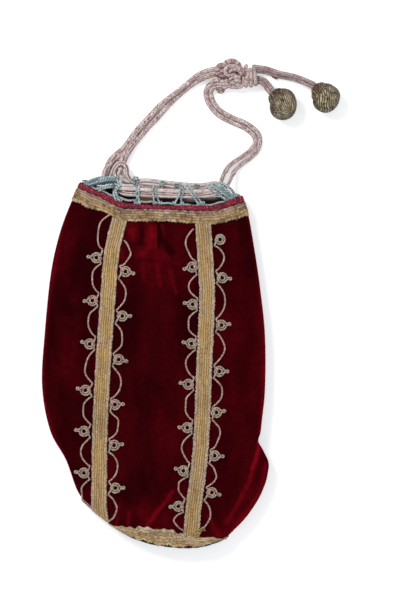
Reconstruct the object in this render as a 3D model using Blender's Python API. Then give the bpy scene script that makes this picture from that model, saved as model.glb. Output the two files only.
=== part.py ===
"""A drawstring bag of crimson velvet with gold galloon, lying on its back with its mouth towards +Y.

Metres, +Z up. The origin is under the middle of the bag, at the height of the surface that it lies on.
The bag is two velvet widths and two lining widths, front and back, closed at one end by a base cloth. Two
drawstrings run round the mouth through thread loops, meet in a knot and end in two covered balls.
"""

import math

import bmesh
import bpy
from mathutils import Vector

# Overall sizes
BAG_LENGTH = 0.2160
BAG_WIDTH = 0.1350
FRONT_RISE = 0.0150
SEAM_HEIGHT = 0.0085

# Cloth and trimmings
GAP = 0.0003
VELVET_THICK = 0.0012
LINING_THICK = 0.0006
GALLOON_WIDTH = 0.0096
GALLOON_THICK = 0.0011
BAND_THICK = 0.0008
BASE_THICK = 0.0010
BASE_BULGE = 0.0012
TRIM_START = 0.10
SEAM_MARGIN = 0.03
EDGING_DIAMETER = 0.0016
SCROLL_DIAMETER = 0.0011
ROSETTE_RADIUS = 0.0030
ROSETTE_REACH = 0.0045
SCROLL_REACH = 0.0064
SCROLL_CROSSING_RISE = 0.0016

# Drawstrings, knot and balls
CORD_DIAMETER = 0.0027
CORD_SPACING = CORD_DIAMETER + 0.0004
LOOP_THREAD = 0.0011
LOOP_LENGTH = CORD_SPACING + CORD_DIAMETER + 2 * LOOP_THREAD + 0.0030
LOOP_DEPTH = CORD_DIAMETER + 2 * LOOP_THREAD + 0.0010
BALL_DIAMETER = 0.0175
BALL_COVER_THICK = 0.0012
BALL_MOUTH_RADIUS = 0.5 * (CORD_SPACING + CORD_DIAMETER) + 0.0007
KNOT_SIZE = Vector((0.0215, 0.0165, 0.0100))

# The bag's outline from mouth to base, as shares of the half width and of the length. Each row is
# left x, left y, right x, right y, how far the middle of the front and of the back dips below the row's
# ends, how far the front rises above the seam, and the seam's height.
ROWS = (
    (-0.668, 1.010, 0.782, 0.968, 0.046, 0.026, 0.56, 1.00),
    (-0.738, 0.961, 0.831, 0.919, 0.046, 0.026, 0.60, 1.00),
    (-0.844, 0.872, 0.880, 0.833, 0.030, 0.014, 0.72, 1.00),
    (-0.924, 0.761, 0.933, 0.722, 0.015, 0.005, 0.84, 1.02),
    (-0.978, 0.600, 0.978, 0.586, 0.005, 0.000, 0.96, 1.05),
    (-1.004, 0.447, 0.978, 0.433, 0.000, 0.000, 1.00, 1.05),
    (-0.933, 0.322, 0.942, 0.300, 0.000, 0.000, 1.00, 1.05),
    (-0.791, 0.239, 1.004, 0.217, 0.004, 0.004, 0.96, 1.05),
    (-0.684, 0.150, 0.951, 0.150, 0.020, 0.020, 0.88, 1.02),
    (-0.560, 0.106, 0.818, 0.083, 0.035, 0.032, 0.74, 1.00),
    (-0.427, 0.072, 0.658, 0.031, 0.049, 0.045, 0.55, 0.97),
)
BASE_Y = -0.5 * BAG_LENGTH - 0.0050
FRONT_FULLNESS = 0.8
BACK_FLATNESS = 1.35
DIP_SQUARENESS = 2.5

ACROSS = 14
ROW_STEPS = (0, 0.35, 1, 1.5, 2, 2.6, 3.3, 4, 5, 6, 6.6, 7.2, 7.8, 8.4, 9, 9.5, 10)
TAPE_ROWS = (0.03, 0.33)
BAND_ROWS = (0.37, 0.70, 1.10)
BASE_BRAID_ROWS = (9.45, 9.72, 9.95)

# Middle lines of the galloons on the front and on the back, as shares of the half width and of the length.
# The first point's height is worked out from the mouth band's edge.
FRONT_GALLOONS = {
    "left": ((-0.311, 0.895), (-0.382, 0.811), (-0.418, 0.669), (-0.458, 0.489), (-0.484, 0.308),
             (-0.489, 0.200), (-0.491, 0.132)),
    "right": ((0.425, 0.889), (0.453, 0.772), (0.462, 0.683), (0.436, 0.489), (0.413, 0.308),
              (0.382, 0.200), (0.342, 0.085), (0.325, 0.053)),
}
BACK_GALLOONS = {
    "left": ((-0.330, 0.900), (-0.390, 0.800), (-0.420, 0.650), (-0.440, 0.450), (-0.430, 0.300),
             (-0.400, 0.215)),
    "right": ((0.430, 0.890), (0.450, 0.770), (0.450, 0.650), (0.430, 0.450), (0.400, 0.300),
              (0.370, 0.200), (0.340, 0.100)),
}
# Scroll cords: galloon, side of it, first rosette's share of the length, spacing of the rosettes and count
SCROLLS = {
    "scroll_cord_left_outer": ("left", -1, 0.800, 0.1190, 6),
    "scroll_cord_left_inner": ("left", 1, 0.761, 0.1195, 6),
    "scroll_cord_right_inner": ("right", -1, 0.774, 0.1100, 7),
    "scroll_cord_right_outer": ("right", 1, 0.850, 0.1165, 7),
}

# Loops round the rim, as shares of the mouth's width
FRONT_LOOPS = (0.22, 0.365, 0.47, 0.60, 0.72, 0.86)
BACK_LOOPS = (0.36, 0.48, 0.60, 0.72)

# Drawstring routes from the middle of the mouth, in metres, with the height above the floor
MOUTH_X = 0.0030
LEG_POINTS = {
    "drawstring_left_leg_outer": (
        (-0.0315, 0.0240, 0.0022), (-0.0305, 0.0264, 0.0018), (-0.0271, 0.0306, 0.0015),
        (-0.0205, 0.0375, 0.0015), (-0.0132, 0.0468, 0.0015), (-0.0065, 0.0541, 0.0015),
        (0.0010, 0.0624, 0.0015), (0.0140, 0.0732, 0.0018), (0.0222, 0.0789, 0.0024),
        (0.0296, 0.0816, 0.0034), (0.0362, 0.0826, 0.0045)),
    "drawstring_left_leg_inner": (
        (-0.0215, 0.0230, 0.0040), (-0.0214, 0.0258, 0.0024), (-0.0199, 0.0300, 0.0016),
        (-0.0150, 0.0370, 0.0015), (-0.0068, 0.0466, 0.0015), (-0.0004, 0.0534, 0.0015),
        (0.0060, 0.0602, 0.0015), (0.0182, 0.0706, 0.0018), (0.0240, 0.0752, 0.0024),
        (0.0301, 0.0782, 0.0034), (0.0356, 0.0792, 0.0045)),
    "drawstring_right_leg_inner": (
        (0.0380, 0.0205, 0.0024), (0.0398, 0.0234, 0.0018), (0.0434, 0.0265, 0.0015),
        (0.0484, 0.0298, 0.0015), (0.0536, 0.0336, 0.0015), (0.0568, 0.0382, 0.0015),
        (0.0556, 0.0426, 0.0015), (0.0500, 0.0469, 0.0015), (0.0421, 0.0504, 0.0015),
        (0.0342, 0.0549, 0.0015), (0.0285, 0.0622, 0.0017), (0.0274, 0.0690, 0.0024),
        (0.0312, 0.0742, 0.0036), (0.0360, 0.0757, 0.0044)),
    "drawstring_right_leg_outer": (
        (0.0440, 0.0190, 0.0045), (0.0466, 0.0222, 0.0024), (0.0506, 0.0255, 0.0016),
        (0.0556, 0.0292, 0.0015), (0.0594, 0.0338, 0.0015), (0.0603, 0.0394, 0.0015),
        (0.0586, 0.0448, 0.0015), (0.0523, 0.0497, 0.0015), (0.0437, 0.0535, 0.0015),
        (0.0364, 0.0577, 0.0015), (0.0318, 0.0637, 0.0017), (0.0308, 0.0690, 0.0024),
        (0.0333, 0.0713, 0.0036), (0.0381, 0.0716, 0.0044)),
}
# A point on the way out of the loops for each drawstring's front strand and back strand, from the strand's
# first place in the loops
WAYS_OUT = {
    "a": ((-0.005209, 0.004726, -0.006596), (-0.007188, 0.002919, -0.000050)),
    "b": ((0.006053, 0.004305, -0.004510), (0.002273, 0.003141, -0.000050)),
}
# Shares of the mouth's width where each drawstring enters the loops and where it turns back, and how far the
# turn bulges out
MOUTH_SHARES = {"a": (0.34, 0.80), "b": (0.88, 0.17)}
TURN_BULGE = 0.0035
KNOT_CENTRE = Vector((0.0463, 0.0790, 0.5 * KNOT_SIZE.z))
TAIL_POINTS = {
    "left": ((0.0575, 0.0757, 0.0045), (0.0622, 0.0745, 0.0055)),
    "right": ((0.0577, 0.0826, 0.0045), (0.0638, 0.0826, 0.0030), (0.0718, 0.0800, 0.0025),
              (0.0818, 0.0774, 0.0036)),
}
# Where each ball's neck points, from its centre
BALL_NECKS = {
    "left": Vector((-0.66, 0.74, -0.10)).normalized(),
    "right": Vector((-0.70, 0.70, -0.15)).normalized(),
}
BALL_CENTRES = {
    "left": Vector((0.0736, 0.0610, 0.5 * BALL_DIAMETER)),
    "right": Vector((0.0991, 0.0646, 0.5 * BALL_DIAMETER)),
}


def clear_scene():
    for ob in list(bpy.data.objects):
        bpy.data.objects.remove(ob)


def material(name, colour, roughness, metallic=0.0):
    mat = bpy.data.materials.new(name)
    mat.use_nodes = True
    shader = mat.node_tree.nodes["Principled BSDF"]
    shader.inputs["Base Color"].default_value = (*colour, 1.0)
    shader.inputs["Roughness"].default_value = roughness
    shader.inputs["Metallic"].default_value = metallic
    return mat


def make_materials():
    return {
        "velvet": material("velvet", (0.12, 0.004, 0.010), 0.8),
        "lining": material("lining", (0.22, 0.09, 0.03), 0.8),
        "base_cloth": material("base_cloth", (0.02, 0.09, 0.08), 0.7),
        "gold_braid": material("gold_braid", (0.50, 0.36, 0.14), 0.5, 0.4),
        "tape": material("tape", (0.38, 0.01, 0.03), 0.7),
        "loop_thread": material("loop_thread", (0.20, 0.32, 0.36), 0.6),
        "scroll": material("scroll", (0.48, 0.30, 0.22), 0.6, 0.2),
        "cord": material("cord", (0.66, 0.46, 0.46), 0.7),
        "ball_thread": material("ball_thread", (0.16, 0.12, 0.05), 0.5, 0.4),
        "wood": material("wood", (0.35, 0.22, 0.12), 0.8),
    }


def add_mesh(name, points, faces, mat):
    """One named object from points and faces, in world coordinates, with its faces turned outwards."""
    mesh = bpy.data.meshes.new(name)
    mesh.from_pydata([tuple(p) for p in points], [], faces)
    work = bmesh.new()
    work.from_mesh(mesh)
    bmesh.ops.recalc_face_normals(work, faces=work.faces)
    work.to_mesh(mesh)
    work.free()
    mesh.materials.append(mat)
    ob = bpy.data.objects.new(name, mesh)
    bpy.context.scene.collection.objects.link(ob)
    return ob


def spline(values, place):
    """Catmull-Rom value at a place between 0 and len(values) - 1; values are numbers or vectors."""
    last = len(values) - 1
    i = min(max(int(math.floor(place)), 0), last - 1)
    f = place - i
    b, c = values[i], values[i + 1]
    a = values[i - 1] if i > 0 else b + (b - c)
    d = values[i + 2] if i + 2 <= last else c + (c - b)
    return 0.5 * ((2 * b) + (c - a) * f + (2 * a - 5 * b + 4 * c - d) * f * f
                  + (3 * b - a - 3 * c + d) * f * f * f)


def row(v):
    """The bag's section at row v: the two ends, both dips, the front's rise and the seam's height."""
    left_x, left_y, right_x, right_y, dip_front, dip_back, rise, seam = (
        spline([r[k] for r in ROWS], v) for k in range(8))
    half = 0.5 * BAG_WIDTH
    left = Vector((left_x * half, BASE_Y + left_y * BAG_LENGTH, 0))
    right = Vector((right_x * half, BASE_Y + right_y * BAG_LENGTH, 0))
    return left, right, dip_front * BAG_LENGTH, dip_back * BAG_LENGTH, rise * FRONT_RISE, seam * SEAM_HEIGHT


def skin(side, s, v):
    """A point of the velvet's outer surface. s runs 0 to 1 from the left seam to the right one."""
    left, right, dip_front, dip_back, rise, seam = row(v)
    t = 0.5 - 0.5 * math.cos(math.pi * s)
    plateau = 1 - abs(2 * t - 1) ** DIP_SQUARENESS
    swell = max(math.sin(math.pi * s), 0.0) ** FRONT_FULLNESS
    point = left.lerp(right, t)
    if side == "front":
        point.y -= dip_front * plateau
        point.z = seam + 0.5 * GAP + rise * swell
    else:
        point.y -= dip_back * plateau
        bottom = GAP + GALLOON_THICK
        depth = seam - 0.5 * GAP - bottom
        point.z = bottom + depth * (1 - min(1.0, BACK_FLATNESS * swell))
    return point


def skin_normal(side, s, v):
    step = 1e-3
    across = skin(side, min(s + step, 1), v) - skin(side, max(s - step, 0), v)
    along = skin(side, s, min(v + step, len(ROWS) - 1)) - skin(side, s, max(v - step, 0))
    normal = along.cross(across).normalized()
    return normal if side == "front" else -normal


def cloth_point(side, s, v, out):
    return skin(side, s, v) + skin_normal(side, s, v) * out


def shell(name, grid_out, grid_in, mat):
    """A closed sheet between two grids of points of the same size, grid_out being the side that faces out."""
    rows, cols = len(grid_out), len(grid_out[0])
    points = [p for line in grid_out for p in line] + [p for line in grid_in for p in line]
    inner = rows * cols

    def at(i, j):
        return i * cols + j

    faces = []
    for i in range(rows - 1):
        for j in range(cols - 1):
            a, b, c, d = at(i, j), at(i, j + 1), at(i + 1, j + 1), at(i + 1, j)
            faces += [(a, d, c), (a, c, b)]
            faces += [(inner + a, inner + b, inner + c), (inner + a, inner + c, inner + d)]
    rim = [at(0, j) for j in range(cols)] + [at(i, cols - 1) for i in range(1, rows)]
    rim += [at(rows - 1, j) for j in range(cols - 2, -1, -1)] + [at(i, 0) for i in range(rows - 2, 0, -1)]
    for a, b in zip(rim, rim[1:] + rim[:1]):
        faces += [(a, b, inner + b), (a, inner + b, inner + a)]
    return add_mesh(name, points, faces, mat)


def cloth(name, side, rows, out, thick, mat):
    """A width of cloth between two seams, its outer face at out from the velvet's, covering the given rows."""
    places = [j / ACROSS for j in range(ACROSS + 1)]
    if side == "back":
        places.reverse()
    outer = [[cloth_point(side, s, v, out) for s in places] for v in rows]
    inner = [[cloth_point(side, s, v, out - thick) for s in places] for v in rows]
    return shell(name, outer, inner, mat)


def find(side, x, y):
    """The s and v of the skin's point above or below a place on the floor."""
    s, v = 0.5, 5.0
    for _ in range(12):
        low, high = 0.0, float(len(ROWS) - 1)
        for _ in range(30):
            v = 0.5 * (low + high)
            if skin(side, s, v).y > y:
                low = v
            else:
                high = v
        left, right = row(v)[:2]
        t = min(max((x - left.x) / (right.x - left.x), 0.0), 1.0)
        s = math.acos(1 - 2 * t) / math.pi
    return s, v


def on_skin(side, x, y, out):
    return cloth_point(side, *find(side, x, y), out)


def real(share_x, share_y):
    return Vector((share_x * 0.5 * BAG_WIDTH, BASE_Y + share_y * BAG_LENGTH, 0))


def sampled(points, count):
    """count places on a smooth curve through the points, with the direction at each, by its length."""
    fine = [spline(points, k * (len(points) - 1) / 200) for k in range(201)]
    lengths = [0.0]
    for a, b in zip(fine, fine[1:]):
        lengths.append(lengths[-1] + (b - a).length)
    out, k = [], 0
    for n in range(count):
        want = lengths[-1] * n / (count - 1)
        while k < len(fine) - 2 and lengths[k + 1] < want:
            k += 1
        f = (want - lengths[k]) / max(lengths[k + 1] - lengths[k], 1e-9)
        out.append((fine[k].lerp(fine[k + 1], min(f, 1.0)), (fine[k + 1] - fine[k]).normalized()))
    return out


def below_band(side, place):
    """The place's own x, with the y at which a trimming starts below the mouth band."""
    start = BAND_ROWS[-1] + TRIM_START
    left, right = row(start)[:2]
    share = (place.x - left.x) / (right.x - left.x)
    return Vector((place.x, skin(side, math.acos(1 - 2 * share) / math.pi, start).y, 0))


def trim_line(side, shares):
    """The middle line of a galloon, in metres, from the mouth band down."""
    places = [real(*p) for p in shares]
    return [below_band(side, places[0])] + places[1:]


def galloon(name, side, shares, mat):
    """A flat braid along its middle line on the velvet."""
    middle = trim_line(side, shares)
    outer, inner = [], []
    for centre, along in sampled(middle, 22):
        across = Vector((-along.y, along.x, 0)) * (1 if side == "front" else -1)
        places = [centre + across * GALLOON_WIDTH * f for f in (-0.5, 0, 0.5)]
        outer.append([on_skin(side, p.x, p.y, GAP + GALLOON_THICK) for p in places])
        inner.append([on_skin(side, p.x, p.y, GAP) for p in places])
    return shell(name, outer, inner, mat)


def tube(name, points, diameter, mat, bevel_resolution=2, closed=False):
    """A round cord along points, as a poly curve with a bevel and filled ends."""
    curve = bpy.data.curves.new(name, "CURVE")
    curve.dimensions = "3D"
    curve.bevel_depth = 0.5 * diameter
    curve.bevel_resolution = bevel_resolution
    curve.use_fill_caps = not closed
    line = curve.splines.new("POLY")
    line.points.add(len(points) - 1)
    for place, p in zip(line.points, points):
        place.co = (*p, 1.0)
    line.use_cyclic_u = closed
    curve.materials.append(mat)
    ob = bpy.data.objects.new(name, curve)
    bpy.context.scene.collection.objects.link(ob)
    return ob


def scroll_places(shares, hand, first, pitch, count):
    """Places along a scroll cord: distance outwards from the galloon's edge, place along it, and lift."""
    middle = trim_line("front", shares)
    line = sampled(middle, 200)
    edge = 0.5 * GALLOON_WIDTH

    def place(y, out):
        centre, along = min(line, key=lambda item: abs(item[0].y - y))
        across = Vector((-along.y, along.x, 0))
        across = across if across.x * hand > 0 else -across
        return centre + across * (edge + out)

    places = []
    for n in range(count):
        y = BASE_Y + (first - n * pitch) * BAG_LENGTH
        foot = y + pitch * BAG_LENGTH - ROSETTE_RADIUS if n else middle[0].y - SCROLL_DIAMETER
        top = y + ROSETTE_RADIUS
        for f, reach in ((0.10, 0.60), (0.45, 1.0), (0.78, 0.75)):
            places.append((place(foot + (top - foot) * f, SCROLL_REACH * reach), 0.0))
        for k in range(10):
            turn = math.radians(-60 - 50 * k)
            out = ROSETTE_REACH + ROSETTE_RADIUS * math.sin(turn)
            lift = SCROLL_CROSSING_RISE * min(max((k - 5) / 2, 0), 1)
            places.append((place(y + ROSETTE_RADIUS * math.cos(turn), out), lift))
    return places


def scroll_cord(name, spec, mat):
    which, hand, first, pitch, count = spec
    out = GAP + 0.5 * SCROLL_DIAMETER
    points = [on_skin("front", p.x, p.y, out + lift)
              for p, lift in scroll_places(FRONT_GALLOONS[which], hand, first, pitch, count)]
    return tube(name, points, SCROLL_DIAMETER, mat, bevel_resolution=0)


def rim(side, share, beyond):
    """A point beyond the bag's rim at a share of the mouth's width, in the middle of the velvet's thickness."""
    s = math.acos(1 - 2 * share) / math.pi
    point = cloth_point(side, s, 0, -0.5 * VELVET_THICK)
    point.y += beyond
    return point


def edging(name, side, mat):
    beyond = GAP + 0.5 * EDGING_DIAMETER
    places = [2 * SEAM_MARGIN + (1 - 4 * SEAM_MARGIN) * k / 24 for k in range(25)]
    points = [rim(side, 0.5 - 0.5 * math.cos(math.pi * s), beyond) for s in places]
    return tube(name, points, EDGING_DIAMETER, mat, bevel_resolution=1)


def cord_line(side, share, place):
    """The middle of a drawstring inside the loops. place is 0 nearer the rim, 1 farther from it."""
    near = GAP + EDGING_DIAMETER + GAP + LOOP_THREAD + 0.5 * (LOOP_LENGTH - 2 * LOOP_THREAD)
    point = rim(side, share, near + (place - 0.5) * CORD_SPACING)
    if side == "back":
        point.z = max(point.z, 0.5 * LOOP_DEPTH + GAP)
    return point


def thread_loop(name, side, share, mat):
    """A loop sewn to the rim round both drawstrings: a rounded ring that stands across them."""
    centre = 0.5 * (cord_line(side, share, 0) + cord_line(side, share, 1))
    half_y, half_z = 0.5 * (LOOP_LENGTH - LOOP_THREAD), 0.5 * (LOOP_DEPTH - LOOP_THREAD) + 0.5 * GAP
    points = []
    for k in range(12):
        turn = 2 * math.pi * (k + 0.5) / 12
        c, s = math.cos(turn), math.sin(turn)
        points.append(centre + Vector((0, half_y * math.copysign(abs(c) ** 0.7, c),
                                       half_z * math.copysign(abs(s) ** 0.45, s))))
    return tube(name, points, LOOP_THREAD, mat, bevel_resolution=0, closed=True)


def cord_route(points, count):
    """Places along a cord: each end runs straight for a diameter, and the rest is one smooth curve."""
    smooth = [p for p, _ in sampled(points, count)]
    first = points[0] + (points[1] - points[0]).normalized() * CORD_DIAMETER
    last = points[-1] + (points[-2] - points[-1]).normalized() * CORD_DIAMETER
    return [points[0], first] + smooth[1:-1] + [last, points[-1]]


def mouth_frame():
    """The point that the free cords are placed from: below the middle of the front rim."""
    return Vector((MOUTH_X, rim("front", 0.5, 0).y, 0))


def mouth_cord(which, place, ends, mat):
    """One drawstring inside the mouth, from its two ends on one side round the front, far side and back."""
    near, far = MOUTH_SHARES[which]
    step = (far - near) / 5
    front = [cord_line("front", near + step * k, place) for k in range(6)]
    back = [cord_line("back", far - step * k, place) for k in range(6)]
    turn = 0.5 * (front[-1] + back[0]) + Vector((math.copysign(TURN_BULGE, step), 0, 0))
    first, last = (Vector(way) for way in WAYS_OUT[which])
    points = ends[0] + [front[0] + first] + front + [turn] + back + [back[-1] + last] + ends[1][::-1]
    return tube("drawstring_%s_in_mouth" % which, cord_route(points, 34), CORD_DIAMETER, mat)


def free_points(points):
    return [mouth_frame() + Vector(p) for p in points]


def add_drawstrings(mats):
    legs = {name: free_points(points) for name, points in LEG_POINTS.items()}
    for name, points in legs.items():
        tube(name, cord_route(points, 15), CORD_DIAMETER, mats["cord"])

    def end(name):
        first, second = legs[name][0], legs[name][1]
        back = (first - second).normalized()
        return [first + back * GAP, first + back * 2 * CORD_DIAMETER]

    mouth_cord("a", 1, (end("drawstring_left_leg_inner"), end("drawstring_left_leg_outer")), mats["cord"])
    mouth_cord("b", 0, (end("drawstring_right_leg_outer"), end("drawstring_right_leg_inner")), mats["cord"])


def add_knot(mats):
    """The tied lump where the four strands meet, flat where it lies."""
    centre = mouth_frame() + KNOT_CENTRE
    segments, rings = 20, 10
    half = 0.5 * KNOT_SIZE
    points, faces = [], []
    for i in range(1, rings):
        polar = math.pi * i / rings
        for j in range(segments):
            turn = 2 * math.pi * j / segments
            lump = 1 + 0.07 * math.cos(3 * turn) * math.sin(polar)
            z = max(math.cos(polar) * half.z, 0.06 * half.z - half.z)
            points.append(centre + Vector((half.x * math.sin(polar) * math.cos(turn) * lump,
                                           half.y * math.sin(polar) * math.sin(turn) * lump, z)))
    top, bottom = len(points), len(points) + 1
    points += [centre + Vector((0, 0, half.z)), centre + Vector((0, 0, 0.06 * half.z - half.z))]
    for j in range(segments):
        k = (j + 1) % segments
        faces.append((top, j, k))
        for i in range(rings - 2):
            a, b = i * segments, (i + 1) * segments
            faces += [(a + j, b + j, b + k), (a + j, b + k, a + k)]
        faces.append((bottom, (rings - 2) * segments + k, (rings - 2) * segments + j))
    add_mesh("drawstring_knot", points, faces, mats["cord"])


def turned(name, profile, centre, axis, mat, segments=16):
    """A body turned about an axis through centre. The profile is a list of (along, radius). It starts and ends
    on the axis, or else its last ring joins its first."""
    up = axis.normalized()
    side = up.cross(Vector((0, 0, 1))).normalized()
    other = up.cross(side)
    points, rings = [], []
    for along, radius in profile:
        first = len(points)
        if radius < 1e-9:
            points.append(centre + up * along)
            rings.append([first] * segments)
            continue
        for j in range(segments):
            turn = 2 * math.pi * j / segments
            points.append(centre + up * along + (side * math.cos(turn) + other * math.sin(turn)) * radius)
        rings.append([first + j for j in range(segments)])
    faces = []
    on_axis = profile[0][1] < 1e-9
    for low, high in zip(rings, rings[1:] + ([] if on_axis else rings[:1])):
        for j in range(segments):
            k = (j + 1) % segments
            corners = tuple(dict.fromkeys((low[j], low[k], high[k], high[j])))
            if len(corners) > 2:
                faces.append(corners)
    return add_mesh(name, points, faces, mat)


def arc(radius, start, stop, count):
    """Points of a sphere's section from one polar angle to another, as (along, radius)."""
    angles = [start + (stop - start) * k / (count - 1) for k in range(count)]
    return [(radius * math.cos(a), radius * math.sin(a)) for a in angles]


def add_ball(which, mats):
    """A thread-covered ball: a cover with a hole at its neck, and the core that fills it."""
    centre = mouth_frame() + BALL_CENTRES[which]
    axis = BALL_NECKS[which]
    outer = 0.5 * BALL_DIAMETER
    inner = outer - BALL_COVER_THICK
    core = inner - GAP
    outside = arc(outer, math.asin(BALL_MOUTH_RADIUS / outer), math.pi, 9)
    inside = arc(inner, math.pi, math.asin(BALL_MOUTH_RADIUS / inner), 9)
    turned("ball_%s_cover" % which, outside + inside, centre, axis, mats["ball_thread"])
    turned("ball_%s_core" % which, arc(core, 0, math.pi, 9), centre, axis, mats["wood"])


def add_tails(mats):
    """Two strands side by side from the knot into each ball's neck."""
    for which, route in TAIL_POINTS.items():
        points = free_points(route)
        centre = mouth_frame() + BALL_CENTRES[which]
        neck = BALL_NECKS[which]
        outside = 0.5 * BALL_DIAMETER + CORD_DIAMETER
        inside = 0.5 * BALL_DIAMETER - BALL_COVER_THICK
        points += [centre + neck * outside, centre + neck * inside]
        for n, hand in enumerate((-0.5, 0.5), 1):
            strand = []
            for p, along in sampled(points, 12):
                across = Vector((-along.y, along.x, 0)).normalized()
                strand.append(p + across * hand * CORD_SPACING)
            tube("tail_%s_strand_%d" % (which, n), strand, CORD_DIAMETER, mats["cord"])


def add_base(mats):
    """The base cloth: a cap over the open end between the lower edges of the front and the back."""
    last = len(ROWS) - 1
    outer, inner = [], []
    columns = 6
    for k in range(ACROSS + 1):
        s = SEAM_MARGIN + (1 - 2 * SEAM_MARGIN) * k / ACROSS
        low, high = skin("back", s, last), skin("front", s, last)
        line_out, line_in = [], []
        for c in range(columns + 1):
            f = c / columns
            p = low.lerp(high, f)
            bulge = BASE_BULGE * math.sin(math.pi * f) * math.sin(math.pi * s)
            p.y -= GAP + bulge
            line_in.append(p)
            line_out.append(p + Vector((0, -BASE_THICK, 0)))
        outer.append(line_out)
        inner.append(line_in)
    shell("base_cloth", outer, inner, mats["base_cloth"])


def add_bag(mats):
    lining_out = -(VELVET_THICK + GAP)
    for side in ("front", "back"):
        cloth("velvet_" + side, side, ROW_STEPS, 0.0, VELVET_THICK, mats["velvet"])
        cloth("lining_" + side, side, ROW_STEPS, lining_out, LINING_THICK, mats["lining"])
        cloth("mouth_tape_" + side, side, TAPE_ROWS, GAP + BAND_THICK, BAND_THICK, mats["tape"])
        cloth("mouth_band_" + side, side, BAND_ROWS, GAP + BAND_THICK, BAND_THICK, mats["gold_braid"])
        cloth("base_braid_" + side, side, BASE_BRAID_ROWS, GAP + BAND_THICK, BAND_THICK, mats["gold_braid"])
        edging("mouth_edging_" + side, side, mats["loop_thread"])
    add_base(mats)


def add_trimmings(mats):
    for which in FRONT_GALLOONS:
        galloon("galloon_front_" + which, "front", FRONT_GALLOONS[which], mats["gold_braid"])
        galloon("galloon_back_" + which, "back", BACK_GALLOONS[which], mats["gold_braid"])
    for name, spec in SCROLLS.items():
        scroll_cord(name, spec, mats["scroll"])
    for side, shares in (("front", FRONT_LOOPS), ("back", BACK_LOOPS)):
        for n, share in enumerate(shares, 1):
            thread_loop("rim_loop_%s_%d" % (side, n), side, share, mats["loop_thread"])


def main():
    clear_scene()
    mats = make_materials()
    add_bag(mats)
    add_trimmings(mats)
    add_drawstrings(mats)
    add_knot(mats)
    add_tails(mats)
    for which in BALL_CENTRES:
        add_ball(which, mats)


main()
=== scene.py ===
"""The looks of a velvet drawstring bag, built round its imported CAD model.

Metres, +Z up, in the CAD model's frame: the bag lies on its back with its mouth towards +Y.
"""

import math

import bpy
import numpy as np
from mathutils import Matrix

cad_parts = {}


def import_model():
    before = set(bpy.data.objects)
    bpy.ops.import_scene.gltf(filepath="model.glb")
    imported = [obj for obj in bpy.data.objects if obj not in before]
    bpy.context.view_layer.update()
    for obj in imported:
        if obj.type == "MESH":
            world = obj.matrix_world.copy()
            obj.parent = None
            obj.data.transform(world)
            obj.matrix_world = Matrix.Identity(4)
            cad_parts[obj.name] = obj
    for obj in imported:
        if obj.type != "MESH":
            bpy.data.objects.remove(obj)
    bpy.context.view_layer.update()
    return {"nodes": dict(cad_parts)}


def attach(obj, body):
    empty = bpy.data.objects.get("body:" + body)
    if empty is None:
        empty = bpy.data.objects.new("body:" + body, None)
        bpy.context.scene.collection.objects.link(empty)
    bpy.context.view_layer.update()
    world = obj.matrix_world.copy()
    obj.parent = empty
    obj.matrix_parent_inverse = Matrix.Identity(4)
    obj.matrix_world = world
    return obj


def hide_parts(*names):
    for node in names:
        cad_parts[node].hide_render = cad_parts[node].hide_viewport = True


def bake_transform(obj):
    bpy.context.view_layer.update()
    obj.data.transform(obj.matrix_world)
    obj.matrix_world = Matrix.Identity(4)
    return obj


MM = 0.001
PIXEL = 0.6  # millimetres to a pixel of the photograph, at the height of the side seams
TURN = 2 * math.pi
UP = np.array((0, 0, 1.0))
norm = np.linalg.norm

# The CAD model's sizes
BAG_LENGTH = 0.2160
BAG_WIDTH = 0.1350
FRONT_RISE = 0.0150
SEAM_HEIGHT = 0.0085
GAP = 0.0003
VELVET_THICK = 0.0012
LINING_THICK = 0.0006
GALLOON_THICK = 0.0011
EDGING_DIAMETER = 0.0016
CORD_DIAMETER = 0.0027
CORD_SPACING = 0.0031
LOOP_THREAD = 0.0011
LOOP_DEPTH = CORD_DIAMETER + 2 * LOOP_THREAD + 0.0010
BALL_DIAMETER = 0.0175
CLEAR = 0.0001  # between pieces that touch
TRIM_BASE = 0.0002  # under the trimmings' relief
BASE_Y = -0.5 * BAG_LENGTH - 0.0050
FRONT_FULLNESS = 0.8
BACK_FLATNESS = 1.35
DIP_SQUARENESS = 2.5
BACK_RISE = 0.016
# The bag's shape in rows from mouth to base: x and y of the left seam, x and y of the right one, how far the front's
# middle and the back's dip towards the base, the front's fullness, and the seams' height
ROWS = np.array((
    (-0.668, 1.01, 0.782, 0.968, 0.046, 0.026, 0.56, 1), (-0.738, 0.961, 0.831, 0.919, 0.046, 0.026, 0.6, 1),
    (-0.844, 0.872, 0.88, 0.833, 0.03, 0.014, 0.72, 1), (-0.924, 0.761, 0.933, 0.722, 0.015, 0.005, 0.84, 1.02),
    (-0.978, 0.6, 0.978, 0.586, 0.005, 0, 0.96, 1.05), (-1.004, 0.447, 0.978, 0.433, 0, 0, 1, 1.05),
    (-0.933, 0.322, 0.942, 0.3, 0, 0, 1, 1.05), (-0.791, 0.239, 1.004, 0.217, 0.004, 0.004, 0.96, 1.05),
    (-0.684, 0.15, 0.951, 0.15, 0.02, 0.02, 0.88, 1.02), (-0.56, 0.106, 0.818, 0.083, 0.035, 0.032, 0.74, 1),
    (-0.427, 0.072, 0.658, 0.031, 0.049, 0.045, 0.55, 0.97),
))
LAST = len(ROWS) - 1

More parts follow.
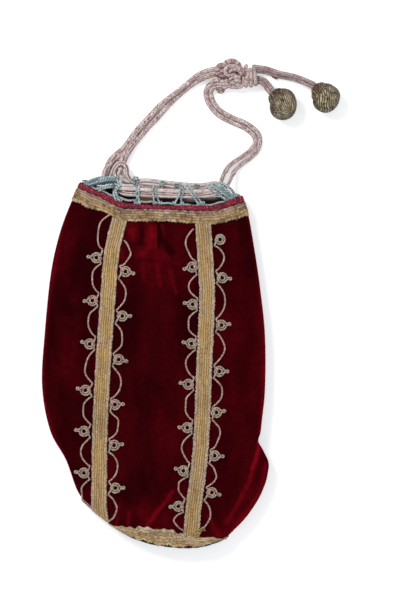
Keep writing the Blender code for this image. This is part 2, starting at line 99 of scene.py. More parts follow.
# Routes of the cords, as in the CAD model: from the point under the middle of the front rim
MOUTH_X = 0.0030
LEG_POINTS = {
    "left_outer": ((-0.0315, 0.024, 0.0022), (-0.0305, 0.0264, 0.0018), (-0.0271, 0.0306, 0.0015),
        (-0.0205, 0.0375, 0.0015), (-0.0132, 0.0468, 0.0015), (-0.0065, 0.0541, 0.0015), (0.001, 0.0624, 0.0015),
        (0.014, 0.0732, 0.0018), (0.0222, 0.0789, 0.0024), (0.0296, 0.0816, 0.0034), (0.0362, 0.0826, 0.0045)),
    "left_inner": ((-0.0215, 0.023, 0.004), (-0.0214, 0.0258, 0.0024), (-0.0199, 0.03, 0.0016), (-0.015, 0.037, 0.0015),
        (-0.0068, 0.0466, 0.0015), (-0.0004, 0.0534, 0.0015), (0.006, 0.0602, 0.0015), (0.0182, 0.0706, 0.0018),
        (0.024, 0.0752, 0.0024), (0.0301, 0.0782, 0.0034), (0.0356, 0.0792, 0.0045)),
    "right_inner": ((0.038, 0.0205, 0.0024), (0.0398, 0.0234, 0.0018), (0.0434, 0.0265, 0.0015),
        (0.0484, 0.0298, 0.0015), (0.0536, 0.0336, 0.0015), (0.0568, 0.0382, 0.0015), (0.0556, 0.0426, 0.0015),
        (0.05, 0.0469, 0.0015), (0.0421, 0.0504, 0.0015), (0.0342, 0.0549, 0.0015), (0.0285, 0.0622, 0.0017),
        (0.0274, 0.069, 0.0024), (0.0312, 0.0742, 0.0036), (0.036, 0.0757, 0.0044)),
    "right_outer": ((0.044, 0.019, 0.0045), (0.0466, 0.0222, 0.0024), (0.0506, 0.0255, 0.0016),
        (0.0556, 0.0292, 0.0015), (0.0594, 0.0338, 0.0015), (0.0603, 0.0394, 0.0015), (0.0586, 0.0448, 0.0015),
        (0.0523, 0.0497, 0.0015), (0.0437, 0.0535, 0.0015), (0.0364, 0.0577, 0.0015), (0.0318, 0.0637, 0.0017),
        (0.0308, 0.069, 0.0024), (0.0333, 0.0713, 0.0036), (0.0381, 0.0716, 0.0044)),
}
TAIL_POINTS = {
    "left": ((0.0575, 0.0757, 0.0045), (0.0622, 0.0745, 0.0055)),
    "right": ((0.0577, 0.0822, 0.0045), (0.0638, 0.0815, 0.003), (0.0718, 0.079, 0.0025), (0.0818, 0.0767, 0.0036)),
}
BALL_NECKS = {"left": (-0.66, 0.74, -0.10), "right": (-0.70, 0.70, -0.15)}
BALL_CENTRES = {"left": (0.0736, 0.0610, 0.5 * BALL_DIAMETER), "right": (0.0991, 0.0646, 0.5 * BALL_DIAMETER)}

# Edges and middle lines of the trimmings on the front, in millimetres
TAPE_TOP = (
    (-52, 108), (-45, 104.8), (-39, 102.4), (-33, 99.4), (-27, 97), (-22.2, 94), (-15, 92.5), (-3, 91.6), (9, 91),
    (21, 91.2), (33, 91.2), (40.2, 92.6), (46.2, 95.6), (52, 97),
)
TAPE_LOW = (
    (-52, 104.8), (-45.6, 101.6), (-39, 98.6), (-33, 96.2), (-27, 92.7), (-21, 90), (-15, 89.1), (3, 88.8), (21, 88.2),
    (36, 87.9), (43.8, 90.3), (52.8, 93.2), (56, 94.4),
)
BAND_LOW = (
    (-56, 98.2), (-49.8, 94.6), (-43.8, 91.9), (-39, 89.2), (-33, 88), (-25.8, 85), (-21, 82.9), (-15, 81.7),
    (-3, 81.5), (9, 81.4), (18, 80.7), (27, 80.2), (36, 79.9), (45, 82), (51, 83.8), (56, 85.6), (60, 86.8),
)
BRAID_TOP = (
    (-30, -99.4), (-24.3, -100.4), (-13.8, -101), (0.6, -101.6), (12.6, -103.4), (20.4, -106.6), (33.6, -107.2),
    (40.8, -108.3), (46, -108.6),
)
GALLOON_LINES = {
    "left": ((-20, 86.5), (-20.9, 83.2), (-25.7, 62.2), (-28.2, 31.6), (-30.9, -7.4), (-32.7, -46.4), (-33, -69.8),
        (-33.2, -87.2), (-32, -97.5)),
    "right": ((28.4, 84), (28.8, 80.2), (30.5, 53.8), (31.2, 34.6), (29.4, -7.4), (27.9, -46.4), (25.8, -69.8),
        (23.4, -87.2), (21.6, -106.6)),
}
GALLOON_WIDTHS = {"left": 9.2, "right": 9.5}
BACK_GALLOONS = {
    "left": ((-22.3, 81.4), (-26.3, 59.8), (-28.4, 27.4), (-29.7, -15.8), (-29, -48.2), (-27, -66.6)),
    "right": ((29, 79.2), (30.4, 53.3), (30.4, 27.4), (29, -15.8), (27, -48.2), (25, -69.8), (23, -91.4)),
}
# Loose metal threads at the foot of the right galloon: pixels of the photograph, and heights above the velvet
FRAYS = (
    ((191.8, 533.6, 1), (193, 530.4, 1.7), (196.4, 528.6, 1.8), (200.6, 528, 1.2)),
    ((192.4, 534.2, 0.9), (194.6, 531.6, 1.6), (198, 530.6, 2), (202.4, 530.4, 0.5)),
    ((193.6, 534.6, 0.9), (196, 532.6, 1.7), (199, 531.6, 1.6), (201, 532.6, 0.8)),
    ((191.6, 531.2, 1.1), (194.4, 533.2, 1.5), (197.6, 534.6, 1.4), (200.2, 535.2, 0.5)),
    ((193.2, 528.8, 1.1), (195, 531.4, 2), (195.4, 534.4, 1)),
    ((196.6, 529, 1.1), (198.2, 532.2, 2.2), (199.4, 535, 0.8)),
    ((190.8, 534, 0.9), (194.6, 535.2, 1.2), (198.8, 533.2, 1.9), (200.4, 530.2, 1.3)),
    ((198.6, 529.6, 1.3), (202, 528.6, 1), (206, 529.6, 0.3)),
    ((198.8, 528.4, 1.3), (202, 527, 1), (205.2, 527.6, 0.3)),
)
FRONT_GALLOONS = {"left": {"top": 84.2}, "right": {"top": 81.6, "silvery": 1, "frays": FRAYS}}
KNIT_SHARE = 0.86  # of a galloon's width: its edge cords have the rest
# Rosettes in millimetres, with their galloon, the side of it, and whether each has a bud
ROSETTES = {
    "left_outer": ("left", -1, ((-34.8, 59.8), (-37.2, 34.3), (-38.6, 8.2), (-41.1, -19.4), (-42, -43.7),
        (-42, -68.6))),
    "left_inner": ("left", 1, ((-17.4, 51.4), (-19.2, 25), (-21.4, -0.8), (-23.6, -27.8), (-24, -52.1),
        (-23.4, -77.6))),
    "right_inner": ("right", -1, ((22.4, 54.1), (22.6, 31.9), (21.9, 8.5), (20, -15.8), (19.4, -41.6), (17, -67.2),
        (14.2, -88.4))),
    "right_outer": ("right", 1, ((39, 70.6), (40.2, 47.8), (39.8, 19.6), (38.4, -8), (36.8, -32.6), (35.6, -58.4),
        (34, -80.4))),
}
# Where each scroll's first arc leaves its galloon; the last one starts with a bare rosette
FIRST_ARCS = {"left_outer": 84.5, "left_inner": 71.5, "right_inner": 77.5, "right_outer": None}
LAST_ARC_ENDS = {
    "left_outer": (-37.2, -90), "left_inner": (-28.2, -98), "right_inner": (17.2, -103), "right_outer": (27.4, -101.8),
}
ARC_REACH = 3.9  # how far from a rosette's middle its arcs meet the galloon, in millimetres
# Points of an arc: how far along it each lies, and its share of the arc's width
ARC_SHAPE = ((0.0, 0.17), (0.11, 0.52), (0.28, 0.88), (0.50, 1.0), (0.72, 0.86), (0.90, 0.50), (1.0, 0.17))
# How gilt each of the band's ribs is, and how much of its maroon ground shows, from the tape down
BAND_GILT = np.array((0.05, 0.40, 0.85, 1.0, 0.9))
BAND_GROUND = np.array((0.60, 0.20, 0.0, 0.0, 0.0))

# Creases of the front velvet: points in millimetres, half width and height in millimetres
CREASES = (
    (((64, -50), (60.5, -62), (55.5, -74), (49.5, -86), (41, -98)), 1.6, 1.25),
    (((67.5, -60), (63, -74), (57, -86), (50, -97)), 4, 1),
    (((60, -44), (56.5, -58), (50.5, -72), (44.5, -86)), 3.2, -1.3),
    (((10.5, -80), (5, -88), (-1.5, -96), (-6, -103)), 1.7, 1.2),
    (((6, -78), (0.5, -87), (-5, -95)), 2.6, -0.8), (((-15, -93), (-16.5, -102)), 2, 0.8),
    (((-22, -88), (-23, -99)), 2.2, 0.7), (((12, -95), (10, -104)), 2, 0.7), (((32, -93), (36, -106)), 2.6, 1),
    (((2.1, 82), (2.1, 66)), 1.3, -0.6), (((3, 75), (6, 69), (10, 62.5)), 1.8, -0.5),
    (((4.2, 80), (5.6, 73), (9, 68)), 1.2, 0.5), (((5, 63), (8.4, 59.5), (10, 50), (13, 38)), 1.5, 0.7),
    (((-2, 80), (-2, 66)), 2, 0.6), (((-13, 80), (-13.5, 66)), 2, 0.5), (((1.2, 58), (2.4, 42)), 1.4, 0.5),
    (((-6.6, 58), (-6.2, 44)), 1.4, 0.4), (((-14, 68.2), (-6, 68)), 0.9, -0.4), (((-14, 58.4), (0, 58)), 0.9, -0.3),
    (((-40, 86), (-45, 70), (-48, 52)), 2.8, 0.8), (((-33, 84), (-38, 72)), 2, 0.6),
    (((48, 80), (52, 66), (54, 46)), 2.8, 0.8), (((-60, 20), (-50, 16), (-42, 17)), 2.6, -0.4),
    (((-8, 4), (4, 6), (14, 3)), 2.4, 0.3), (((-57, -42), (-50, -52), (-44, -66)), 3, 0.8),
)
# Painted sheen of the velvet's pile as brighter areas, and painted shade where the strength is below 0: centre,
# half sizes in millimetres, turn in degrees and strength
SHEEN_AND_SHADE_PATCHES = (
    (-13.6, 75.5, 2.6, 5.5, 0, 0.75), (-2.6, 73.5, 3.8, 7, 0, 0.7), (-8.6, 62, 3.2, 2.8, 0, 0.35),
    (6.2, 60.2, 3, 1.6, 0, 0.5), (-19.2, 62, 1.6, 3.4, 0, 0.5), (-2, 66, 16, 16, 0, 0.12), (-42, 74, 9, 16, -12, 0.05),
    (-49, 24, 15, 62, 0, -0.08), (52, 60, 6, 24, 6, 0.1), (-6, -94, 18, 8, 0, 0.3), (58, -84, 5, 20, -28, 0.28),
    (47, -102, 15, 5, 24, 0.45), (-48, -62, 8, 22, 25, 0.08), (64.5, 10, 2.4, 60, 0, 0.16), (6, -28, 24, 26, 0, 0.05),
    (46, -30, 9, 30, 0, 0.06), (-36, -84, 8, 9, 0, 0.22),
)

# Painted sheen along the creases' ridges and the bag's edges, and painted shade in the creases' valleys where the
# strength is below 0: points in millimetres, half width and strength
SHEEN_AND_SHADE_LINES = (
    (((62.6, -50), (60.4, -62), (56.5, -74), (50, -87), (43, -98)), 1.3, 0.62),
    (((10.5, -80), (6.5, -86), (2, -91), (-2, -97), (-5, -101)), 1.3, 0.6),
    (((63.5, -50), (62, -56), (58, -66)), 1, 0.5), (((-15, -93), (-16.5, -102)), 1.3, 0.35),
    (((-22, -88), (-23, -99)), 1.3, 0.3), (((32, -95), (38, -106)), 1.6, 0.4), (((4.2, 79.5), (5.6, 72)), 0.8, 0.4),
    (((0.8, 79), (0.6, 66)), 0.8, 0.45), (((1.2, 57), (3.4, 43)), 0.9, 0.3),
    (((8.6, 53), (10.2, 48), (12.8, 39)), 0.9, 0.35), (((-6.6, 57), (-6.4, 46)), 0.9, 0.22),
    (((2.2, 82), (2.2, 66)), 1.1, -0.42), (((3, 75), (6, 69), (10, 62.5)), 1.9, -0.34),
    (((-13.8, 68.2), (-5, 68)), 1.3, -0.2), (((-14, 58.4), (0, 58)), 1.2, -0.12), (((-8, 80), (-7.6, 70)), 1.6, -0.24),
    (((53, 98), (57.5, 80), (61, 61), (65.6, 22.6), (66.2, 3.4), (65, -25.4), (63.2, -44.6)), 1.3, 0.45),
    (((66.5, -64), (64, -78), (58.4, -88), (46, -104)), 1.4, 0.55),
    (((-50.6, 98), (-55.4, 80.2), (-62.6, 41.8), (-66.8, 3.4), (-66.6, -25.4), (-61, -44.6), (-54, -59)), 1.2, 0.3),
)

RNG = np.random.default_rng(11)


# Curves and surfaces

def clamp(x):
    return np.clip(x, 0, 1)


def bell(x):
    """1 at 0, and less and less on both sides of it."""
    return np.exp(-x ** 2)


def waves(x, *terms):
    """A sum of sine waves, each given by its height, its rate and its start."""
    return sum(high * np.sin(x * rate + start) for high, rate, start in terms)


def normed(vectors):
    return vectors / norm(vectors, axis=-1, keepdims=True)


def spline(values, place):
    """Catmull-Rom values at places between 0 and len(values) - 1."""
    values, place = np.asarray(values, float), np.asarray(place, float)
    last = len(values) - 1
    i = np.clip(np.floor(place).astype(int), 0, last - 1)
    f = (place - i)[..., None]
    b, c = values[i], values[i + 1]
    a = np.where((i > 0)[..., None], values[np.maximum(i - 1, 0)], 2 * b - c)
    d = np.where((i + 2 <= last)[..., None], values[np.minimum(i + 2, last)], 2 * c - b)
    return 0.5 * (2 * b + (c - a) * f + (2 * a - 5 * b + 4 * c - d) * f ** 2 + (3 * b - a - 3 * c + d) * f ** 3)


def through(points, per=14):
    """A dense smooth line through the points."""
    points = np.asarray(points, float)
    return spline(points, np.linspace(0, len(points) - 1, (len(points) - 1) * per + 1))


def run(points):
    """Length along a line at each of its points."""
    steps = norm(np.diff(points, axis=0), axis=1)
    return np.concatenate([[0], np.cumsum(steps)])


def even(points, step):
    """The line with its points about a step apart."""
    points = np.asarray(points, float)
    at = run(points)
    count = max(int(round(at[-1] / step)), 3)
    want = np.linspace(0, at[-1], count + 1)
    return np.stack([np.interp(want, at, points[:, k]) for k in range(points.shape[1])], 1)


def to_line(x, y, points):
    """Distance from each place to a line of points, in the points' unit."""
    best = np.full(np.shape(x), 1e9)
    for (ax, ay), (bx, by) in zip(points, points[1:]):
        dx, dy = bx - ax, by - ay
        f = clamp(((x - ax) * dx + (y - ay) * dy) / (dx * dx + dy * dy))
        best = np.minimum(best, np.hypot(x - ax - f * dx, y - ay - f * dy))
    return best


WAVES = [(RNG.uniform(0, TURN), RNG.uniform(0, TURN), RNG.uniform(14, 46)) for _ in range(14)]


def ripple(x, y):
    """Smooth small unevenness between about -1 and 1, from places in millimetres."""
    total = np.zeros(np.shape(x))
    for turn, start, long in WAVES:
        total = total + np.sin((x * math.cos(turn) + y * math.sin(turn)) * TURN / long + start)
    return total / 4.0


def relief(x, y):
    """How far the front's cloth stands up from the smooth shape, in metres."""
    x, y = x / MM, y / MM
    out = 0.22 * ripple(x, y)
    for line in GALLOON_LINES.values():
        out = out - 0.45 * bell(to_line(x, y, line) / 7.0)
    for points, width, high in CREASES:
        away = to_line(x, y, points) / width
        out = out + high * 0.85 * bell(away)
    return out * MM


def edge_shift(v):
    """The fold that bites into the right edge, and the cloth that stands out below it."""
    return (-1.7 * bell((v - 6.08) / 0.16) + 0.9 * bell((v - 6.75) / 0.30)) * MM


def skin(side, t, v, creased=True):
    """Points of the velvet's outer surface. t runs 0 to 1 from the left seam to the right one, v from mouth to base."""
    t, v = np.broadcast_arrays(np.asarray(t, float), np.asarray(v, float))
    r = np.moveaxis(spline(ROWS, v), -1, 0)
    half = 0.5 * BAG_WIDTH
    lx, ly, rx, ry = r[0] * half, BASE_Y + r[1] * BAG_LENGTH, r[2] * half, BASE_Y + r[3] * BAG_LENGTH
    seam = r[7] * SEAM_HEIGHT
    plateau = 1 - np.abs(2 * t - 1) ** DIP_SQUARENESS
    swell = (2 * np.sqrt(clamp(t * (1 - t)))) ** FRONT_FULLNESS
    x = lx + (rx - lx) * t + edge_shift(v) * t ** 8
    dip = r[4] if side == "front" else r[5] - BACK_RISE * bell(v / 0.9)
    y = ly + (ry - ly) * t - dip * BAG_LENGTH * plateau
    if side == "front":
        y = y + (0.6 * bell((t - 0.50) / 0.16) - 0.5 * bell((t - 0.80) / 0.10)
                 - 0.7 * bell((t - 0.27) / 0.08)) * MM * bell(v / 0.9)
        z = seam + 0.5 * GAP + r[6] * FRONT_RISE * swell
        if creased:
            z = z + relief(x, y) * clamp(swell * 1.6) * clamp(v / 0.8)
    else:
        bottom = GAP + GALLOON_THICK
        z = bottom + (seam - 0.5 * GAP - bottom) * (1 - np.minimum(1, BACK_FLATNESS * swell))
    return np.stack([x, y, z], -1)


def place(side, t, v, out, creased=True):
    """Points at a distance out from the skin."""
    t, v = np.broadcast_arrays(np.asarray(t, float), np.asarray(v, float))
    step = 1e-3
    across = skin(side, clamp(t + step), v, creased) - skin(side, clamp(t - step), v, creased)
    along = skin(side, t, v + step, creased) - skin(side, t, v - step, creased)
    normal = normed(np.cross(along, across) * (1 if side == "front" else -1))
    return skin(side, t, v, creased) + normal * np.asarray(out)[..., None]


def find(side, x, y):
    """The t and v of the skin above or below places on the floor, in metres."""
    x, y = np.asarray(x, float), np.asarray(y, float)
    rows = np.arange(LAST + 1)
    middle = skin(side, 0.5, rows, False)[:, 1]
    v = np.interp(-y, -middle, rows)
    for _ in range(16):
        r = spline(ROWS, v)
        lx, rx = r[..., 0] * 0.5 * BAG_WIDTH, r[..., 2] * 0.5 * BAG_WIDTH
        t = clamp((x - lx) / (rx - lx))
        here = skin(side, t, v, False)[..., 1]
        slope = (skin(side, t, v + 1e-3, False)[..., 1] - here) / 1e-3
        v = np.clip(v + np.clip((y - here) / slope, -0.7, 0.7), -0.3, LAST + 0.3)
    return t, v


def lay(side, xy, out):
    """Points at a distance out from the skin, above or below places on the floor."""
    return place(side, *find(side, xy[:, 0], xy[:, 1]), out)


def edge_rows(points):
    """A function that gives v at t for an edge line on the front, from its points in millimetres."""
    line = through(points, 10) * MM
    t, v = find("front", line[:, 0], line[:, 1])
    order = np.argsort(t)
    return lambda at: np.interp(at, t[order], v[order])


# Meshes

def link(name, data):
    """A new object in the scene."""
    ob = bpy.data.objects.new(name, data)
    bpy.context.scene.collection.objects.link(ob)
    return ob


class Parts:
    """Collects the parts of one piece."""

    def __init__(self):
        self.points, self.faces, self.values, self.count = [], [], {}, 0

    def add(self, points, faces, **values):
        points = np.asarray(points, float).reshape(-1, 3)
        for block in faces:
            self.faces += (np.asarray(block) + self.count).tolist()
        for key in set(self.values) | set(values):
            had = self.values.setdefault(key, [np.zeros(self.count)] if self.count else [])
            given = values.get(key, 0.0)
            had.append(np.broadcast_to(np.asarray(given, float).reshape(-1) if np.ndim(given) else given,
                                       (len(points),)).astype(float))
        self.points.append(points)
        self.count += len(points)

    def make(self, name, mat):
        mesh = bpy.data.meshes.new(name)
        mesh.from_pydata(np.concatenate(self.points).tolist(), [], self.faces)
        mesh.polygons.foreach_set("use_smooth", np.ones(len(mesh.polygons), bool))
        for key, blocks in self.values.items():
            made = mesh.attributes.new(key, "FLOAT", "POINT")
            made.data.foreach_set("value", np.concatenate(blocks).astype(np.float32))
        mesh.materials.append(mat)
        mesh.update()
        return link(name, mesh)


def grid_faces(rows, cols, round_cols=False, round_rows=False, flip=False):
    i = np.arange(rows if round_rows else rows - 1)
    j = np.arange(cols if round_cols else cols - 1)
    i, j = np.meshgrid(i, j, indexing="ij")
    i2, j2 = (i + 1) % rows, (j + 1) % cols
    quads = np.stack([i * cols + j, i * cols + j2, i2 * cols + j2, i2 * cols + j], -1).reshape(-1, 4)
    return quads[:, ::-1] if flip else quads


def tube_faces(rows, cols, closed=False):
    """The faces of a tube made of rows of points, which is closed to a ring or has a cap at each end."""
    cap = np.arange(cols)[None, :]
    caps = [] if closed else [cap[:, ::-1], (rows - 1) * cols + cap]
    return [grid_faces(rows, cols, round_cols=True, round_rows=closed), *caps]


def slab(outer, inner, flip=False):
    """Points and faces of a closed sheet between two grids of the same size."""
    rows, cols = outer.shape[:2]
    n = rows * cols
    points = np.concatenate([outer.reshape(-1, 3), inner.reshape(-1, 3)])
    rim = np.concatenate([np.arange(cols), np.arange(1, rows) * cols + cols - 1,
                          (rows - 1) * cols + np.arange(cols - 2, -1, -1), np.arange(rows - 2, 0, -1) * cols])
    after = np.roll(rim, -1)
    walls = np.stack([rim, rim + n, after + n, after], -1)
    if flip:
        walls = walls[:, ::-1]
    return points, [grid_faces(rows, cols, flip=flip), grid_faces(rows, cols, flip=not flip) + n, walls]


def frames(points):
    """Two normals along a line, turned as little as possible."""
    tangents = normed(np.gradient(points, axis=0))
    start = np.cross(tangents[0], UP)
    if norm(start) < 1e-3:
        start = np.array((1.0, 0, 0))
    sides = [start / norm(start)]
    for t in tangents[1:]:
        side = sides[-1] - t * (sides[-1] @ t)
        sides.append(side / norm(side))
    sides = np.array(sides)
    return sides, np.cross(sides, tangents)


def twist(theta, along, strands=2, pitch=2.2, depth=0.26):
    """A twisted cord's shape: its radius as a share, and how high each place is."""
    lobe = np.abs(np.cos(0.5 * strands * theta - math.pi * along / pitch))
    return 1 - depth + depth * lobe ** 0.7, {"relief": lobe}


def plait(theta, along, strands=12, long=0.90, depth=0.20):
    """A round braid: strands wind both ways over and under each other, and maroon ones show in thin lines along it."""
    turn = strands * theta / TURN
    a, b = turn - along / long, turn + along / long
    fa, fb = a % 1, b % 1
    column = (np.floor(a) + np.floor(b)) % (2 * strands)
    row = np.floor(b) - np.floor(a)
    across, length = np.where(column % 2 == 0, fa, fb), np.where(column % 2 == 0, fb, fa)
    high = np.sqrt(1 - (2 * across - 1) ** 2) * (0.45 + 0.55 * np.sin(math.pi * length))
    chance = scatter(column, row)
    dark = (column % 4 == 1) & (chance < 0.72)
    tone = np.where(dark, 0.05 + 0.3 * chance, np.where(chance < 0.06, 0.25, 0.50 + 0.50 * chance))
    return 1 - depth + depth * high, {"relief": high, "tone": tone}


def lined_plait(theta, along):
    """The braid with a maroon line along its top, which is lost near both ends."""
    share, values = plait(theta, along)
    lined = clamp((np.minimum(along, along.max() - along) - 7.0) / 4.0)
    top = lined * bell((theta - 0.5 * math.pi) / 0.30)
    tone = values["tone"] + lined * (0.40 - 0.30 * values["tone"])
    return share, {"relief": values["relief"] + 0.35 * lined * (1 - values["relief"]),
                   "tone": np.clip(tone, 0, 1.1) * (1 - 0.95 * top)}


def dull_plait(theta, along):
    """The braid of the tails, darkened by handling, with dark threads along it."""
    share, values = plait(theta, along)
    lines = clamp(bell((theta - 0.42 * math.pi - 0.10 * np.sin(along * 0.7)) / 0.16)
                  + 0.8 * bell((theta - 0.72 * math.pi + 0.12 * np.sin(along * 0.5 + 1)) / 0.12))
    return share, {**values, "dull": 0.35 + 0.65 * lines, "tone": values["tone"] * (1 - 0.55 * lines)}


def ribbed(theta, along):
    """A cord bent so sharply that its strands show as ribs across it."""
    rib = np.abs(np.cos(math.pi * along / 0.95))
    return 0.86 + 0.14 * rib ** 0.7, {"relief": rib, "tone": 0.25 + 0.65 * scatter(np.floor(along / 0.95 + 0.5), 3.0)}


def scatter(a, b):
    """A fixed number between 0 and 1 for each pair of whole numbers."""
    value = np.sin(a * 12.9898 + b * 78.233 + 0.5) * 43758.5453
    return value - np.floor(value)


def rope(parts, path, diameter, look, step=0.00025, sides=48, ends=True, closed=False, thick=None, **extra):
    """Adds a round cord along a path, with the shape that look gives. thick is how thick it is at each length from
    its start, as shares of the diameter. extra gives more values, as numbers or as lists spread along the path."""
    points = even(path, step)
    side, up = frames(points)
    theta = np.linspace(0, TURN, sides, endpoint=False)[None, :]
    along = run(points)[:, None]
    share, values = look(theta, along / MM)
    flat = 0 * (theta + along)
    radius = 0.5 * diameter * (share + flat)
    if thick is not None:
        radius = radius * np.interp(along, *np.transpose(thick))
    if ends and not closed:
        from_end = np.minimum(along, along[-1, 0] - along) / (0.5 * diameter)
        radius = radius * np.sqrt(np.clip(1 - (1 - clamp(from_end)) ** 2, 0.02, 1))
    grid = points[:, None, :] + radius[..., None] * (np.cos(theta)[..., None] * side[:, None, :]
                                                     + np.sin(theta)[..., None] * up[:, None, :])
    rows = len(points)
    for key, value in extra.items():
        if np.ndim(value):
            value = np.interp(np.linspace(0, 1, rows), np.linspace(0, 1, len(value)), value)[:, None]
        values[key] = value
    parts.add(grid, tube_faces(rows, sides, closed), **{key: value + flat for key, value in values.items()})


def one_rope(name, mat, *given, **options):
    """A piece that is a single rope."""
    parts = Parts()
    rope(parts, *given, **options)
    return parts.make(name, mat)


def raised(path, radius):
    """Lifts a path, where it has to be, so that a cord of this radius lies on the floor."""
    path[:, 2] = np.maximum(path[:, 2], radius + CLEAR)
    return path


# Materials

class Look:
    """Builds a node material."""

    def __init__(self, name, roughness, metallic=0.0, sheen=0.0, sheen_tint=(1, 1, 1), specular=0.4):
        self.mat = bpy.data.materials.new(name)
        self.mat.use_nodes = True
        self.tree = self.mat.node_tree
        self.shader = self.tree.nodes["Principled BSDF"]
        self.put(self.shader, {"Roughness": roughness, "Metallic": metallic, "Specular IOR Level": specular,
                               "Sheen Weight": sheen, "Sheen Roughness": 0.35, "Sheen Tint": sheen_tint})
        self.place = self.node("TexCoord", {}, "Object")

    def put(self, node, inputs):
        """Gives a node's inputs their values: numbers, colours or the outputs of other nodes."""
        for key, value in inputs.items():
            socket = node.inputs[key]
            if isinstance(value, bpy.types.NodeSocket):
                self.tree.links.new(value, socket)
            else:
                socket.default_value = (*value, 1) if socket.type == "RGBA" else value

    def node(self, kind, inputs, output=0, **settings):
        node = self.tree.nodes.new("ShaderNode" + kind)
        for key, value in settings.items():
            setattr(node, key, value)
        self.put(node, inputs)
        return node.outputs[output]

    def value(self, name):
        return self.node("Attribute", {}, "Fac", attribute_name=name)

    def add(self, a, b):
        return self.node("Math", {0: a, 1: b}, operation="ADD")

    def times(self, a, b):
        return self.node("Math", {0: a, 1: b}, operation="MULTIPLY")

    def clamped(self, kind, a, b):
        return self.node("Math", {0: a, 1: b}, operation=kind, use_clamp=True)

    def noise(self, scale, detail, roughness=0.5, stretch=None):
        at = self.node("Mapping", {"Vector": self.place, "Scale": stretch}) if stretch else self.place
        return self.node("TexNoise", {"Vector": at, "Scale": scale, "Detail": detail, "Roughness": roughness}, "Fac")

    def fit(self, value, low, high, to_low=0.0, to_high=1.0):
        """A value, or a noise given as a tuple, taken from one range to another."""
        value = self.noise(*value) if isinstance(value, tuple) else value
        return self.node("MapRange", {"Value": value, "From Min": low, "From Max": high, "To Min": to_low,
                                      "To Max": to_high}, "Result")

    def mix(self, share, a, b):
        return self.node("Mix", {0: share, 6: a, 7: b}, 2, data_type="RGBA")

    def wash(self, colour, over, value, *limits):
        """Lays one colour over another where a value lies between limits."""
        return self.mix(self.fit(value, *limits), colour, over)

    def tone(self, noise, low, high, much):
        """How bright each thread is, made uneven by a noise."""
        return self.add(self.value("tone"), self.fit(noise, low, high, -much, much))

    def bump(self, height, distance, strength=1.0, **before):
        height = self.noise(*height) if isinstance(height, tuple) else height
        return self.node("Bump", {"Height": height, "Distance": distance, "Strength": strength, **before}, "Normal")

    def done(self, colour, normal, **more):
        self.put(self.shader, {"Base Color": colour, "Normal": normal, **more})
        return self.mat


def velvet_look():
    k = Look("velvet", 0.8, sheen=0.42, sheen_tint=(0.80, 0.004, 0.030), specular=0.0)
    cloud = k.fit(k.noise(34, 3, stretch=(1.5, 0.7, 1)), 0.38, 0.70)
    # painted sheen and shade of the pile, with a random cloud, sets how bright the velvet is
    nap = k.clamped("ADD", k.times(cloud, 0.22), k.value("nap"))
    colour = k.mix(nap, (0.0210, 0.0007, 0.0018), (0.210, 0.0030, 0.0085))
    colour = k.mix(k.times(k.fit((420, 2), 0.3, 0.7), 0.40), colour, (0.010, 0.0002, 0.0008))
    pile = k.noise(2600, 1, stretch=(1, 0.55, 1))
    return k.done(colour, k.bump(pile, 0.0005, 0.30, Normal=k.bump((260, 2), 0.0006, 0.30)))


def metal_look():
    """Gilt and silvered thread: gilt says how yellow, tone how bright each stitch is, relief how deep a place lies."""
    k = Look("gilt_thread", 0.55, metallic=0.25)
    gilt = k.clamped("SUBTRACT", k.value("gilt"), k.times(k.fit((75, 4, 0.6), 0.40, 0.66), 0.35))
    colour = k.mix(gilt, (0.450, 0.325, 0.255), (0.545, 0.345, 0.112))
    colour = k.wash(colour, (0.250, 0.165, 0.085), (46, 3), 0.50, 0.72, 0.0, 0.50)
    rubbed = k.times(k.value("worn"), k.fit((210, 4, 0.75), 0.47, 0.60, 0.0, 0.80))
    colour = k.mix(rubbed, colour, (0.150, 0.080, 0.040))
    tone = k.tone((1700, 2), 0.25, 0.75, 0.26)
    colour = k.wash(colour, (0.185, 0.105, 0.042), tone, 0.05, 0.45, 0.75, 0.0)
    colour = k.wash(colour, (0.720, 0.600, 0.400), tone, 0.62, 1.10, 0.0, 0.85)
    ground = k.times(k.value("ground"), k.fit((430, 3), 0.36, 0.60, 0.15, 0.85))
    colour = k.mix(ground, colour, (0.130, 0.018, 0.026))
    # painted shade: deep places between the stitches and under the edge cords are darkened
    colour = k.wash(colour, (0.085, 0.044, 0.025), k.value("relief"), 0.05, 0.80, 0.90, 0.0)
    return k.done(colour, k.bump((3200, 2), 0.0003, 0.5), Roughness=k.fit((800, 1), 0.3, 0.7, 0.38, 0.70))


def scroll_look():
    k = Look("scroll_thread", 0.5, metallic=0.2, specular=0.45)
    hue = k.clamped("ADD", k.times(k.value("silver"), 0.75), k.fit((85, 3), 0.42, 0.60, -0.2, 0.3))
    colour = k.mix(hue, (0.480, 0.270, 0.225), (0.405, 0.335, 0.245))
    tone = k.tone((1500, 2), 0.25, 0.75, 0.25)
    colour = k.wash(colour, (0.190, 0.110, 0.080), tone, 0.0, 0.45, 0.75, 0.0)
    colour = k.wash(colour, (0.640, 0.520, 0.430), tone, 0.60, 1.10, 0.0, 0.75)
    # painted shade in the hollows between the strands
    colour = k.wash(colour, (0.085, 0.038, 0.030), k.value("relief"), 0.0, 0.7, 0.85, 0.0)
    return k.done(colour, k.bump((3200, 2), 0.0003, 0.4))


def tape_look():
    k = Look("crimson_tape", 0.65, sheen=0.08, sheen_tint=(1, 0.2, 0.3), specular=0.25)
    colour = k.wash((0.125, 0.0030, 0.0130), (0.345, 0.0090, 0.0330), (210, 3), 0.35, 0.7)
    # painted highlight: pale pink specks of glinting ribbon
    colour = k.wash(colour, (0.600, 0.110, 0.150), (760, 2), 0.52, 0.66, 0.0, 0.60)
    # painted shade between the ribs and along the edges
    colour = k.wash(colour, (0.060, 0.0030, 0.0120), k.value("relief"), 0.0, 0.85, 0.85, 0.0)
    return k.done(colour, k.bump((2600, 2), 0.0002, 0.5))


